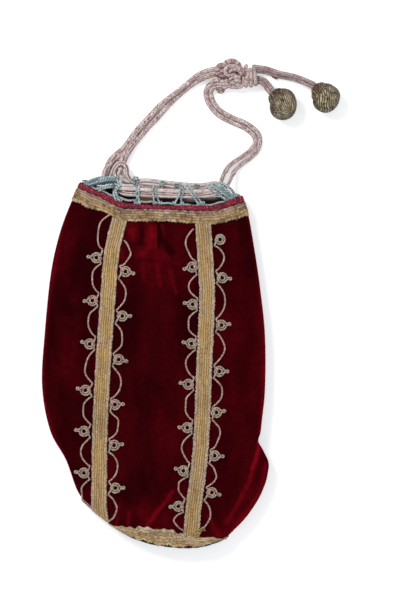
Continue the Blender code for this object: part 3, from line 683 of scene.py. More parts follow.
def loop_look(name="blue_silk", dark=(0.225, 0.350, 0.365), light=(0.640, 0.760, 0.735)):
    k = Look(name, 0.55, sheen=0.1, specular=0.35)
    colour = k.wash(dark, light, (300, 3), 0.35, 0.68)
    # painted highlight: pale specks of glinting thread
    colour = k.wash(colour, (0.780, 0.840, 0.830), (1300, 2), 0.50, 0.66, 0.0, 0.75)
    # painted shade in the hollows between the strands
    colour = k.wash(colour, (0.012, 0.024, 0.038), k.value("relief"), 0.0, 0.85, 0.95, 0.0)
    # painted shade: threads in the mouth's shade are darkened to navy
    colour = k.mix(k.value("navy"), colour, (0.030, 0.060, 0.085))
    return k.done(colour, k.bump((2800, 2), 0.0002, 0.4))


def cord_look():
    """Braided silk: dusty pink strands, some silvered and some maroon."""
    k = Look("pink_cord", 0.6, sheen=0.1, specular=0.3)
    tone = k.tone((230, 3), 0.3, 0.7, 0.16)
    colour = k.wash((0.165, 0.055, 0.066), (0.435, 0.297, 0.283), tone, 0.12, 0.50)
    colour = k.wash(colour, (0.765, 0.672, 0.630), tone, 0.52, 1.00)
    colour = k.mix(k.times(k.value("dull"), k.fit((420, 3), 0.30, 0.62)), colour, (0.170, 0.130, 0.130))
    # painted shade in the hollows between the strands
    colour = k.wash(colour, (0.140, 0.045, 0.052), k.value("relief"), 0.0, 0.65, 0.85, 0.0)
    return k.done(colour, k.bump((3600, 2), 0.0002, 0.4))


def ball_look():
    k = Look("tarnished_thread", 0.45, metallic=0.25, specular=0.45)
    tone = k.tone((260, 3, 0.6), 0.3, 0.7, 0.18)
    colour = k.wash((0.060, 0.040, 0.024), (0.330, 0.235, 0.120), tone, 0.05, 0.55)
    colour = k.wash(colour, (0.640, 0.530, 0.322), tone, 0.55, 1.0)
    colour = k.wash(colour, (0.130, 0.135, 0.055), (150, 2), 0.52, 0.66, 0.0, 0.40)
    colour = k.mix(k.value("brown"), colour, (0.150, 0.060, 0.036))
    colour = k.mix(k.times(k.value("silver"), k.fit(tone, 0.1, 0.6)), colour, (0.430, 0.405, 0.318))
    # painted glints: pale yellow specks on the metal thread
    colour = k.wash(colour, (0.760, 0.700, 0.540), (1000, 2), 0.60, 0.70, 0.0, 0.55)
    # painted shade in the hollows between the threads
    colour = k.wash(colour, (0.020, 0.016, 0.016), k.value("relief"), 0.20, 0.85, 0.96, 0.0)
    return k.done(colour, k.bump((2600, 2), 0.0003, 0.6))


def woven_look(name, dark, light, roughness=0.8, patch=None):
    """A plain weave from two crossing waves, with thread and colour variation."""
    k = Look(name, roughness, sheen=0.15, specular=0.2)
    weft = k.times(*(k.node("TexWave", {"Scale": 500, "Distortion": 0.6, "Vector": k.place}, "Fac", bands_direction=way)
                     for way in "XY"))
    colour = k.mix(k.add(k.times(k.fit((70, 4), 0.3, 0.7), 0.6), k.times(weft, 0.4)), dark, light)
    if patch:
        colour = k.mix(k.value("patch"), colour, patch)
        colour = k.mix(k.value("strip"), colour, (0.440, 0.400, 0.360))
    return k.done(colour, k.bump(weft, 0.0002, 0.6))


def wood_look():
    k = Look("turned_wood", 0.7)
    rings = k.node("TexWave", {"Scale": 220, "Distortion": 3, "Vector": k.place}, "Fac")
    return k.done(k.mix(rings, (0.20, 0.10, 0.045), (0.36, 0.21, 0.11)), k.bump(rings, 0.0002))


# The bag's cloth

def rigid(ob, body, slot, *nodes):
    """A piece that moves with one body, and stands for its CAD nodes."""
    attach(ob, body)
    if nodes:
        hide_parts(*nodes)
    return ob


def bag(ob, *nodes, slot):
    """A piece of the bag's own, with its transform baked in, which stands for its CAD nodes."""
    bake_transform(ob)
    if nodes:
        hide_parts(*nodes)
    return ob


def even_rows(side, first, last, step):
    """Values of v from one to another whose rows lie about a step apart."""
    fine = np.linspace(first, last, 400)
    line = skin(side, np.full(400, 0.5), fine, False)
    at = run(line)
    return np.interp(np.linspace(0, at[-1], int(at[-1] / step)), at, fine)


# Painted sheen and shade on the velvet, from the patches and lines above
def sheen_and_shade_of(points):
    x, y = points[..., 0] / MM, points[..., 1] / MM
    total = np.zeros(x.shape)
    for cx, cy, rx, ry, turn, much in SHEEN_AND_SHADE_PATCHES:
        c, s = math.cos(math.radians(turn)), math.sin(math.radians(turn))
        u, w = (x - cx) * c + (y - cy) * s, -(x - cx) * s + (y - cy) * c
        total = total + much * np.exp(-(u / rx) ** 2 - (w / ry) ** 2)
    total = total * (0.70 + 0.30 * np.clip(ripple(x * 2.3, y * 1.7), -1, 1))
    fade = clamp((99.0 - y) / 17.0) * np.where(x < -40.0, clamp((y + 62.0) / 18.0), 1.0)
    for points, width, much in SHEEN_AND_SHADE_LINES:
        total = total + much * bell(to_line(x, y, points) / width) * fade
    return np.clip(total, -0.25, 1.2)


def sheet(name, side, last, out, thick, mat, first=0, columns=90, step=0.002):
    """A width of the bag's cloth, with its painted sheen and shade and the values of what shows inside the mouth."""
    t = 0.5 - 0.5 * np.cos(np.pi * np.linspace(0, 1, columns))[None, :]
    v = even_rows(side, first, last, step)[:, None]
    outer = place(side, t, v, out)
    points, faces = slab(outer, place(side, t, v, out - thick), flip=side == "front")
    x, y = outer[..., 0] / MM, outer[..., 1] / MM
    patch = clamp(1.6 * np.exp(-((x + 5.0) / 4.5) ** 4 - ((y - 95.2) / 1.9) ** 4))
    strip = clamp(1.6 * np.exp(-((x - 28.0) / 8.5) ** 4 - ((y - 95.6) / 0.8) ** 4))
    values = {"nap": sheen_and_shade_of(outer), "patch": patch, "strip": strip}
    parts = Parts()
    parts.add(points, faces, **{key: np.tile(value.reshape(-1), 2) for key, value in values.items()})
    return parts.make(name, mat)


def add_cloth(mats):
    for side in ("front", "back"):
        velvet = sheet("velvet_%s_cloth" % side, side, LAST, 0.0, VELVET_THICK, mats["velvet"], first=-0.02,
                       columns=170, step=0.0011)
        bag(velvet, "velvet_" + side, slot="velvet")
        lining = sheet("lining_%s_cloth" % side, side, LAST, -(VELVET_THICK + GAP), LINING_THICK, mats["lining"])
        bag(lining, "lining_" + side, slot="lining")


def ribbon(parts, top, under, values):
    """Adds a flat closed band from its upper surface, a grid of rows along its length, and places under it."""
    grid = np.concatenate([top, under], 1)
    padded = {}
    for key, value in values.items():
        value = np.broadcast_to(value, top.shape[:2])
        padded[key] = np.concatenate([value, np.repeat(value[:, -1:], under.shape[1], 1)], 1)
    parts.add(grid, tube_faces(*grid.shape[:2]), **padded)


def strip(parts, side, v_top, v_low, columns, rows, height, margin):
    """Adds a flat trimming along the bag's width. height gives its thickness and values from u and length in mm."""
    t = np.linspace(margin, 1 - margin, columns)[:, None]
    u = np.linspace(0, 1, rows)[None, :]
    top, low = v_top(t), v_low(t)
    along = run(skin(side, t[:, 0], 0.5 * (top + low)[:, 0], False))[:, None] / MM
    high, reach, values = height(u, along)
    v = top + (low - top) * (u + reach)
    inner = place(side, t, v, np.full(v.shape, 0.5 * TRIM_BASE))
    ribbon(parts, place(side, t, v, TRIM_BASE + high), inner[:, [-1, rows // 2, 0]], values)


def round_rib(f):
    """The height of a round rib across its width, from 0 to 1."""
    return np.sqrt(clamp(1 - (2 * f - 1) ** 2))


def tape_height(u, along):
    rib = np.abs(np.sin(np.pi * (along / 1.75 + 0.9 * u)))
    cell = scatter(np.floor(along / 1.75 + 0.9 * u), np.floor(u * 3))
    high = 0.00075 * np.sqrt(1 - (2 * u - 1) ** 4) * (0.45 + 0.40 * rib ** 0.6 + 0.15 * cell)
    edge = 0.05 * np.sin(along * 0.9) * (2 * u - 1) + 0.03 * np.sin(along * 2.3 + 1) * (2 * u - 1)
    # the relief is lower near both edges, so the look paints shade there
    return high, edge, {"relief": rib * (1 - 0.8 * (2 * u - 1) ** 6) * (0.6 + 0.4 * cell)}


def band_height(u, along):
    """Five ribs of couched metal thread, the upper two silvered; the lowest one ends in small picots."""
    sway = waves(along, (0.05, 0.31, 0), (0.035, 0.83, 2), (0.02, 2.1, 0))
    at = np.clip(u + sway * u * (1 - u) * 3, 0, 0.9999) * len(BAND_GILT)
    index, f = np.floor(at), at % 1
    row = index.astype(int)
    rib = round_rib(f)
    phase = along / 0.82 + 0.9 * (f - 0.5) * (1 - 2 * (index % 2)) + 0.37 * index
    stitch = np.abs(np.sin(np.pi * phase))
    cell = scatter(np.floor(phase), index)
    picot = np.abs(np.sin(np.pi * along / 2.1)) ** 0.7 + 0.35 * np.sin(along * 0.83) + 0.2 * np.sin(along * 1.9)
    reach = 0.062 * (picot - 0.5) * clamp((u - 0.86) / 0.14) + 0.012 * np.sin(along * 0.19 + 1)
    reach = reach - 0.03 * np.sin(along * 1.3) * clamp((0.12 - u) / 0.12)
    streak = scatter(index, np.floor(along / 7 + 0.4 * index))
    patchy = scatter(np.floor(along / 1.6 + 0.5 * index), 5 + index)
    lost = patchy > 0.86
    pale = clamp((u - 0.90) / 0.07) * (0.45 + 0.55 * scatter(np.floor(along / 4.3), 17.0))
    high = 0.00030 + 0.00065 * rib * (0.50 + 0.40 * stitch ** 0.6) + 0.00020 * cell * rib - 0.00028 * lost * rib
    tone = -0.08 + 0.62 * cell + 0.36 * streak + 0.22 * patchy + 0.16 * (index < 2) + 0.55 * pale
    return high, reach, {"relief": clamp(rib * (0.30 + 0.70 * stitch) - 0.5 * lost), "tone": tone, "worn": 1.0,
                         "gilt": BAND_GILT[row] - 0.55 * pale, "ground": BAND_GROUND[row] + 0 * along}


def braid_height(u, along):
    """The base braid: like the band, but gilt throughout and less worn."""
    high, reach, values = band_height(u, along)
    reach = 1.4 * reach + 0.05 * np.sin(along * 0.47) + 0.04 * np.sin(along * 1.07 + 1)
    return high, reach, {"relief": np.maximum(values["relief"], 0.32), "gilt": clamp(values["gilt"] + 0.55),
                         "worn": 0.35, "ground": 0.0, "tone": values["tone"] + 0.16}


# Flat trimmings: node, kind, material, slot, columns, rows, shape, and how far they end from the seams
TRIMS = (
    ("mouth_tape", "ribbed", "tape", "tape", 620, 13, tape_height, 0.004),
    ("mouth_band", "braid", "metal", "gold_braid", 900, 31, band_height, 0.004),
    ("base_braid", "braid", "metal", "gold_braid", 620, 31, braid_height, 0.02),
)


def add_bands(mats):
    tape_top, tape_low, band_low, braid_top = (edge_rows(line) for line in (TAPE_TOP, TAPE_LOW, BAND_LOW, BRAID_TOP))

    def level(value, at=None):
        """An edge that is level, or else meets another at both seams and is level between them."""
        if at is None:
            return lambda t: np.full(np.shape(t), value)
        first, last = at(np.array((0.004, 0.996)))
        return lambda t: value + (first - value) * np.exp(-t / 0.12) + (last - value) * np.exp(-(1 - t) / 0.12)

    edges = {
        "front": ((tape_top, tape_low), (tape_low, band_low), (braid_top, level(9.97))),
        "back": ((level(0.0, tape_top), level(0.33, tape_low)), (level(0.36, tape_low), level(1.0, band_low)),
                 (level(9.45), level(9.97))),
    }
    for side, pairs in edges.items():
        for (node, kind, mat, slot, *shape), (top, low) in zip(TRIMS, pairs):
            parts = Parts()
            strip(parts, side, top, low, *shape)
            bag(parts.make("%s_%s_%s" % (node, side, kind), mats[mat]), "%s_%s" % (node, side), slot=slot)


def galloon_line(points, step):
    """A galloon's middle line, and the direction across it at each point."""
    line = even(through(points), step)
    along = normed(np.gradient(line, axis=0))
    return line, np.stack([-along[:, 1], along[:, 0]], 1)


def galloon(name, side, points, width, mat, silvery=0, top=99.0, frays=()):
    """A knitted galloon: a gold middle of chain stitches in columns, with a wound cord along each edge."""
    front = side == "front"
    line, across = galloon_line(points, 0.21)
    line, across = line[line[:, 1] < top], across[line[:, 1] < top]
    at = run(line)
    along = at[:, None]
    u = np.linspace(-1, 1, 73)[None, :]
    wobble = 1 + 0.012 * np.sin(along * 0.31) + 0.010 * np.sin(along * 0.083 + 1)
    xy = line[:, None, :] + across[:, None, :] * (u * 0.5 * width * wobble)[..., None]
    columns = 8
    c = (u * KNIT_SHARE + 1) * 0.5 * columns + 0.10 * np.sin(along * 0.41) + 0.06 * np.sin(along * 1.3)
    f, index = c % 1, np.floor(c)
    rib = round_rib(f)
    phase = along / 0.78 + 0.60 * np.abs(2 * f - 1) + 0.31 * index
    stitch = np.abs(np.cos(np.pi * phase))
    cell = scatter(np.floor(phase + 0.5), index)
    inside = np.abs(u) < KNIT_SHARE
    high = np.where(inside, 0.00025 + 0.00055 * rib * (0.45 + 0.55 * stitch ** 0.6) + 0.00018 * cell * rib, 0.00035)
    start = np.clip((along - 0.4) / 1.4, 0.12, 1) if front else 1.0
    t, v = find(side, xy[..., 0] * MM, xy[..., 1] * MM)
    outer = place(side, t, v, TRIM_BASE + high * (1.0 if front else 0.8) * start)
    inner = place(side, t[:, [-1, 36, 0]], v[:, [-1, 36, 0]], np.full((len(line), 3), 0.5 * TRIM_BASE))
    silver = clamp((u * silvery - 0.35) * 1.6) if silvery else 0 * u
    streak = scatter(index, np.floor(along / 9 + 0.3 * index))
    parts = Parts()
    ribbon(parts, outer, inner, {"relief": clamp(rib * (0.35 + 0.65 * stitch)) * inside,
                                 "tone": 0.10 + 0.45 * cell + 0.40 * streak,
                                 "gilt": 0.98 - 0.2 * np.abs(u) ** 3 - 0.85 * silver})
    for hand in (-1, 1):
        wander = waves(at, (0.14, 0.53, hand), (0.13, 1.21, 2 * hand), (0.13, 2.9, hand), (0.06, 5.3, 0))
        edge = (line + across * (hand * (0.5 * width - 0.60) + wander)[:, None]) * MM
        out = 0.00068 * np.clip((at - 0.4) / 1.4, 0.1, 1) if front else np.full(len(edge), 0.00055)
        rope(parts, lay(side, edge, out), 0.00130 if front else 0.0010, edge_twist, step=0.00024, sides=10, gilt=0.16)
    for k, fray in enumerate(frays):
        fray = seen(fray)
        rope(parts, through(lay(side, fray, fray[:, 2]), 10), 0.00055, thin_twist, step=0.0003, sides=8, gilt=1.0,
             relief=0.95, tone=0.25 + 0.55 * scatter(k + 1.0, 3.0))
    return parts.make(name, mat)


def edge_twist(theta, along):
    share, values = twist(theta, along, 2, 2.3, 0.42)
    return share, {"relief": 0.32 + 0.68 * values["relief"],
                   "tone": 0.22 + 0.75 * scatter(np.floor(along / 0.85), np.floor(along / 5.1))}


def add_galloons(mats):
    for which in ("left", "right"):
        for side, points, width, options in (
                ("front", GALLOON_LINES[which], GALLOON_WIDTHS[which], FRONT_GALLOONS[which]),
                ("back", BACK_GALLOONS[which], 9.4, {})):
            name = "galloon_%s_%s" % (side, which)
            bag(galloon(name + "_knit", side, points, width, mats["metal"], **options), name, slot="gold_braid")


def ring(centre, out, up, radius, first, last, count):
    """Points round a centre, from one angle to another in degrees: 0 is outwards, 90 towards the mouth."""
    a = np.radians(np.linspace(first, last, count))[:, None]
    r = np.linspace(*radius, count)[:, None]
    return centre + out * r * np.cos(a) + up * r * np.sin(a)


def scroll_path(which):
    """The scroll cord's route in millimetres with its lift: arcs that bulge from the galloon, and rosettes."""
    galloon_name, hand, centres = ROSETTES[which]
    line, across = galloon_line(GALLOON_LINES[galloon_name], 0.5)
    if across[0, 0] * hand < 0:
        across = -across

    def nearest(y):
        return int(np.argmin(np.abs(line[:, 1] - y)))

    def beside(y, out):
        return line[nearest(y)] + across[nearest(y)] * (0.5 * GALLOON_WIDTHS[galloon_name] + out)

    def arc(start, stop, wide):
        """An arc that leaves the galloon's edge near y start, bulges and comes back to it near y stop."""
        shake = RNG.uniform(-0.35, 0.35, 5)
        bend = through([beside(start + (stop - start) * (f + 0.02 * jolt), share * wide + jolt)
                        for (f, share), jolt in zip(ARC_SHAPE, (0, *shake, 0))], 8)
        kink = 0.22 * np.sin(np.linspace(0, 11, len(bend)) + 9 * shake[0]) * np.sin(np.linspace(0, math.pi, len(bend)))
        return bend + np.stack([kink, 0.5 * kink], 1)

    pieces, above = [], FIRST_ARCS[which]
    for centre in centres:
        centre = np.array(centre) + RNG.uniform(-0.12, 0.12, 2)
        out = across[nearest(centre[1])]
        up = np.array((-out[1], out[0])) * (1 if out[0] > 0 else -1)
        bare = above is None
        if not bare:
            pieces.append((arc(above, centre[1] + ARC_REACH, 6.3 + RNG.uniform(-0.4, 0.4)), 0.0))
        above = centre[1] - ARC_REACH
        bud = RNG.uniform(-12, 14)
        knob = centre + (out * math.cos(math.radians(bud)) + up * math.sin(math.radians(bud))) * 4.75
        rings = [(centre, (2.85, 2.8), 150, -15 if bare else bud + 14, 24),
                 (knob, (0.72, 0.72), 150 + bud, -150 + bud, 14),
                 (centre, (2.8, 2.85), -20 if bare else bud - 14, -180, 22),
                 (centre, (2.6, 1.68), -190, -260, 8), (centre, (1.62, 1.55), -275, -590, 30)]
        if bare:
            del rings[1]
        route = np.concatenate([ring(middle, out, up, *turn) for middle, *turn in rings])
        away = np.array([route[-1] + (beside(above, 0.95) - route[-1]) * f for f in (0.4, 0.75)])
        pieces.append((np.concatenate([route, away]), np.concatenate([np.zeros(len(route)), (0.8, 0.9)])))
    last = LAST_ARC_ENDS[which]
    tail = arc(above, last[1], 5.9)
    tail[-8:] = tail[-8] + (np.array(last) - tail[-8]) * np.linspace(0, 1, 8)[:, None]
    return [*pieces, (tail, 0.0)]


def scroll_twist(theta, along):
    share, values = twist(theta, along, 2, 1.5, 0.24)
    return share, {**values, "tone": scatter(np.floor(along / 0.75), np.floor(along / 3.7))}


def add_scrolls(mats):
    diameter = 0.00112
    for which in ROSETTES:
        pieces = scroll_path(which)
        xy = np.concatenate([p for p, _ in pieces]) * MM
        lift = np.concatenate([np.broadcast_to(l, len(p)) for p, l in pieces]) * MM
        rosette = np.concatenate([np.full(len(p), float(np.ndim(l) > 0)) for p, l in pieces])
        dense = even(np.column_stack([xy, lift]), 0.00030)
        path = lay("front", dense, 0.5 * diameter + CLEAR + 0.9 * dense[:, 2])
        silver = np.interp(np.linspace(0, 1, 4 * len(xy)), run(xy) / run(xy)[-1], rosette)
        ob = one_rope("scroll_%s_wound" % which, mats["scroll"], path, diameter, scroll_twist, step=0.00026, sides=9,
                      silver=silver)
        bag(ob, "scroll_cord_" + which, slot="scroll")


# The mouth: edging, loops and drawstrings

def rim(side, share, beyond):
    """Points of the mouth's rim, or at a distance beyond it."""
    point = place(side, share, 0.0, -0.5 * VELVET_THICK, False)
    return point + np.array((0, 1.0, 0)) * np.asarray(beyond)[..., None]


def cord_line(side, share, at):
    """Where the drawstrings run along the rim. at is 0 for the one nearer to it, and 1 for the other."""
    near = GAP + EDGING_DIAMETER + GAP + LOOP_THREAD + 0.0044
    point = rim(side, np.asarray(share, float), near + (at - 0.5) * CORD_SPACING + 0 * np.asarray(share, float))
    if side == "back":
        point[..., 2] = np.maximum(point[..., 2], 0.5 * LOOP_DEPTH + GAP)
    return point


def mouth_frame():
    """The point on the floor under the middle of the front rim, which the cords' routes start from."""
    return np.array((MOUTH_X, rim("front", 0.5, 0.0)[1], 0.0))


def free(points):
    return mouth_frame() + np.asarray(points, float)


# Where the left pair of strands turns over in millimetres, how far that reaches and how high its outer one is lifted
TURN_OVER = (16.6, 161.0)
TURN_REACH, TURN_LIFT = 0.0085, 0.0030
RUN_TOGETHER = 0.0072  # strands nearer than this run together
PARTNERS = {
    "left_outer": "left_inner", "left_inner": "left_outer", "right_inner": "right_outer", "right_outer": "right_inner",
}
# How far the left strands lean towards each other just beyond the mouth, in metres
LEANS = {"left_outer": 0.0013, "left_inner": -0.0006}


def leg_route(which):
    """The CAD model's route, moved a little towards the other strand of the pair where the two run together. Where
    the left pair turns over, its outer strand lies on the inner one."""
    path, other = (through(free(LEG_POINTS[name]), 16) for name in (which, PARTNERS[which]))
    gaps = norm(path[:, None, :] - other[None, :, :], axis=2)
    near = other[np.argmin(gaps, 1)] - path
    apart = norm(near, axis=1, keepdims=True)
    weight = clamp((RUN_TOGETHER - apart) / 0.0010) * clamp(np.linspace(1, 0, len(path))[:, None] / 0.12)
    left = which.startswith("left")
    close, most = (0.0036, 0.0022) if left else (0.00285, 0.0012)
    shift = near / apart * 0.5 * np.clip(apart - close, 0, most) * weight
    if left:
        turned = bell(norm(path[:, :2] - np.array(TURN_OVER) * MM, axis=1)[:, None] / TURN_REACH)
        shift = shift * (1 - turned) + near * 0.5 * (1 - 0.30) * turned
        shift[:, 2] += turned[:, 0] * (TURN_LIFT if which == "left_outer" else 0.0)
    shift[:, 0] += LEANS.get(which, 0.0) * bell((run(path) - 0.010) / 0.0075)
    window = np.hanning(33)
    padded = np.pad(shift, ((16, 16), (0, 0)), mode="edge")
    return path + np.stack([np.convolve(column, window / window.sum(), "valid") for column in padded.T], 1)


def cut(path, start, stop):
    """The stretch of a path between two lengths."""
    at = run(path)
    want = np.linspace(start, stop, max(int((stop - start) / 0.0005), 8))
    return np.stack([np.interp(want, at, path[:, k]) for k in range(3)], 1)


# The drawstrings in the mouth in millimetres, from one leg's start to the other's. A height of 0 is a place on the
# front's cord line, and 1 on the back's
MOUTH_ROUTES = {
    "a": ("left_outer", ((-29.9, 110, 4.6), (-29.2, 106.2, 6.8), (-25.6, 103.2, 9.8), (-20.5, 101.6, 0),
        (-15, 101.2, 0), (-9, 100.9, 0), (3, 100.3, 0), (15, 99.8, 0), (27, 99.8, 0), (34.2, 100.9, 0), (38.4, 103, 10),
        (35.6, 104.6, 5.6), (27, 103.4, 1), (15, 104.2, 1), (3, 105.5, 1), (-6, 106.4, 1), (-13, 105.8, 4.4),
        (-18.4, 106.4, 4.4), (-20.9, 109.4, 4.9)), "left_inner"),
    "b": ("right_outer", ((45.2, 106.8, 6.4), (43, 103, 10.5), (38.9, 99.6, 0), (34.2, 97.7, 0), (27, 96.9, 0),
        (15, 96.8, 0), (3, 97.1, 0), (-9, 97.7, 0), (-18, 98.3, 0), (-23.6, 101, 8.2), (-25.9, 105.2, 7.6),
        (-25.6, 109.8, 8), (-24.6, 113.2, 7.8), (-22.5, 115.9, 7.2), (-20.2, 116.6, 6.9), (-18, 115.4, 6.7),
        (-17, 112.7, 6.4), (-16.6, 109.3, 6), (-13.8, 106, 5.2), (-9, 103.6, 1), (3, 102.2, 1), (15, 101, 1),
        (27, 100.4, 1), (34.6, 101.2, 1), (38.8, 103.6, 3.9), (40.2, 107.6, 3.1)), "right_inner"),
}


RIM_LEFT, RIM_WIDTH = -45.0, 97.8  # in millimetres


def share_of(x):
    """How far along the rim a place is, from its X in metres."""
    return np.clip((np.asarray(x) / MM - RIM_LEFT) / RIM_WIDTH, 0.03, 0.97)


def front_height(x):
    return cord_line("front", share_of(x), 0.5)[..., 2]


def add_mouth_cords(mats):
    def end(which):
        first, second = free(LEG_POINTS[which])[:2]
        back = (first - second) / norm(first - second)
        aside = np.array((EXIT_SHIFTS.get(which, 0.0), 0, 0))
        return [first + 0.6 * aside - back * 0.0022, first + aside + back * 0.4 * CORD_DIAMETER]

    for which, (first, points, last) in MOUTH_ROUTES.items():
        points = np.array(points) * MM
        kind = points[:, 2] / MM
        points[:, 2] = np.where(kind == 0, front_height(points[:, 0]), np.where(kind == 1, BACK_CORDS, points[:, 2]))
        line = through(np.concatenate([end(first), points, end(last)[::-1]]), 16)
        total = run(line)[-1]
        start, stop = 0.96 * LEG_THICK[first][0][1], 0.96 * LEG_THICK[last][0][1]
        thick = ((0, start), (0.008, start), (0.016, 1.05), (total - 0.016, 1.05), (total - 0.008, stop), (total, stop))
        raised(line, 0.5 * CORD_DIAMETER * np.interp(run(line), *np.transpose(thick)))
        ob = one_rope("drawstring_%s_braided" % which, mats["cord"], line, CORD_DIAMETER, lined_plait, thick=thick)
        bag(ob, "drawstring_%s_in_mouth" % which, slot="cord")


EXIT_BEND = 0.0085
EXIT_SHIFTS = {"left_inner": -0.0030, "left_outer": 0.0008, "right_inner": 0.0010}
# How thick each leg's loose braid is, as shares of the CAD model's, at lengths in metres from the mouth
LEG_THICK = {
    "left_outer": ((0, 1.9), (0.009, 1.98), (0.017, 1.6), (0.046, 1.38), (0.058, 1.1), (0.1, 1.12)),
    "left_inner": ((0, 1.95), (0.0095, 1.95), (0.0155, 1.4), (0.026, 1.16), (0.036, 1.22), (0.046, 1.22), (0.054, 1.08),
        (0.1, 1.12)),
    "right_inner": ((0, 0.98), (0.012, 0.98), (0.03, 1.12), (0.1, 1.1)),
    "right_outer": ((0, 1), (0.012, 1), (0.03, 1.12), (0.1, 1.1)),
}


def add_legs(mats):
    for which in LEG_POINTS:
        path, thick = leg_route(which), LEG_THICK[which]
        total = run(path)[-1]
        raised(path, 0.5 * CORD_DIAMETER * np.interp(run(path), *np.transpose(thick)))
        bent = cut(path, 0.0, EXIT_BEND + 0.0032)
        bent[:, 0] += EXIT_SHIFTS.get(which, 0.0) * clamp(1 - run(bent) / 0.0075) ** 1.5
        bend = one_rope("drawstring_%s_bend" % which, mats["cord"], bent, CORD_DIAMETER, plait, ends=False, thick=thick)
        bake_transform(bend)
        line = cut(path, EXIT_BEND, total)
        leg = one_rope("drawstring_%s_leg" % which, mats["cord"], line, CORD_DIAMETER * 1.01, plait,
                       thick=[(at - EXIT_BEND, share) for at, share in thick])
        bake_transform(leg)
        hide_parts("drawstring_%s_leg_%s" % tuple(which.split("_")))


# The knot's cords: pixels of the photograph with the height in millimetres, then the diameter in millimetres
KNOT_CORDS = (
    ("plait", 2.9, ((219, 69.5, 4.5), (226, 71.5, 4.6), (232, 73.5, 4.2), (240, 75, 4), (247, 75, 4))),
    ("plait", 2.9, ((218.5, 74.8, 4.5), (225.5, 76.5, 4.4), (232, 78.5, 3.6), (240, 79.5, 3.4), (247, 79, 3.4))),
    ("plait", 2.9, ((219, 80.8, 4.4), (225, 80.2, 4.8), (231, 79.6, 5.2), (236, 78.5, 4.6), (242, 77, 3.6))),
    ("plait", 2.9, ((222.5, 87.6, 4.4), (227, 85.8, 4.4), (231, 83, 4), (236, 82, 3.4))),
    ("ribbed", 3.4, ((222, 74.5, 3.8), (218.6, 72.2, 4.6), (217.8, 68, 5.2), (220.6, 65, 5.6), (225, 65.6, 5.6))),
    ("ribbed", 3.5, ((224.4, 67.6, 4.8), (225.6, 63.4, 5.4), (229.6, 61.1, 5.8), (234.4, 61.2, 5.8), (238, 63.8, 5.6),
        (239.8, 67.6, 5))),
    ("plait", 2.5, ((239.6, 67.4, 5.8), (234.4, 65.8, 6.8), (228.6, 66.2, 7.2), (225.4, 69.8, 7.2), (226.6, 74, 7),
        (231, 75.4, 6.8), (234.6, 73.6, 6.4))),
    ("plait", 2.4, ((229, 72.6, 6.2), (231.6, 69.8, 7.2), (236, 69.4, 7.6), (240.2, 71.6, 7.6), (242.6, 75.6, 7))),
    ("plait", 2.4, ((236.4, 66.4, 6.2), (240.6, 68.2, 6.6), (243, 71.6, 6.6), (243.6, 76, 6.2))),
    ("plait", 2.4, ((227.4, 76.4, 5.8), (226.6, 80.4, 5.8), (227.6, 84.6, 5.8), (232, 86.4, 6), (238.4, 86.6, 6.2),
        (242.6, 84.8, 6.4), (244, 80.4, 6.8), (243.4, 76, 6.8))),
    ("plait", 2.2, ((228.8, 79.4, 6.6), (232, 77.6, 7.4), (236.6, 76.6, 7.8), (241, 77.8, 7.4))),
    ("plait", 2.2, ((229.6, 83.4, 6.2), (233.6, 81.4, 7.2), (238.2, 80.6, 7.6), (241.6, 82.4, 6.8))),
    ("plait", 2, ((232.4, 84.4, 6.4), (235, 80.4, 7.4), (235.6, 76, 7.4), (232.6, 72.8, 6.8))),
    ("plait", 2.3, ((245.4, 73, 4.6), (245.6, 68.6, 5.8), (246.4, 65.2, 6.2), (247, 63.8, 6))),
    ("ribbed", 2.3, ((218.4, 85.4, 3.6), (217.8, 88.6, 2.6), (219.6, 91, 2), (222.2, 90.8, 2), (223.6, 88, 2.8),
        (223.2, 85, 3.6))),
    ("dark_cord", 1.3, ((213.6, 73.6, 5.2), (218, 76.2, 6), (223, 77.8, 6.6), (227.6, 77.4, 7.2), (231.6, 76.4, 7.4))),
    # painted shade: a dark cord laid along the shaded crevice below the knot
    ("dark_cord", 1.2, ((206.5, 85, 3.6), (211.5, 82.4, 4.4), (217, 81, 4.8), (221.5, 80.2, 5.2))),
)
UPPER_TURNS = KNOT_CORDS[6:13]  # the knot's underside has turns like these
KNOT_TOP = 7.8  # height of the highest of them
# What fills the knot's middle, darkened as painted shade, and a thicker lobe under its upper turns
KNOT_CORE = ((224.0, 76.5, 4.2), (232.0, 76.5, 4.4), (240.0, 77.0, 4.4), (251.0, 76.5, 4.2))
KNOT_LOBE = ((219.5, 74.0, 2.4), (222.0, 68.0, 3.2), (228.0, 66.0, 3.6), (233.0, 69.0, 3.4), (234.0, 75.0, 2.6))
# Turns round the knot: pixel x, middle y, half size up and across in millimetres, lean in degrees
KNOT_TURNS = (
    (247.2, 77.6, 4.6, 4.1, 6), (250.9, 77.2, 4.8, 4, -3), (254.8, 76.2, 4.6, 3.7, -8),
)


PHOTO_MIDDLE = 155.0  # the photograph's column at X = 0
PHOTO_TOP = 214.6  # Y of its top row, in millimetres


def seen(points):
    """Places in metres from pixels of the photograph and heights in millimetres."""
    p = np.asarray(points, float)
    return np.stack([(p[..., 0] - PHOTO_MIDDLE) * PIXEL, PHOTO_TOP - PIXEL * p[..., 1], p[..., 2]], -1) * MM


# The braid darkened almost to maroon: painted shade in the knot's middle and crevice, and the frayed end's own dark
# colour
def dark_cord(theta, along):
    share, values = plait(theta, along)
    return share, {**values, "tone": values["tone"] * 0.15}


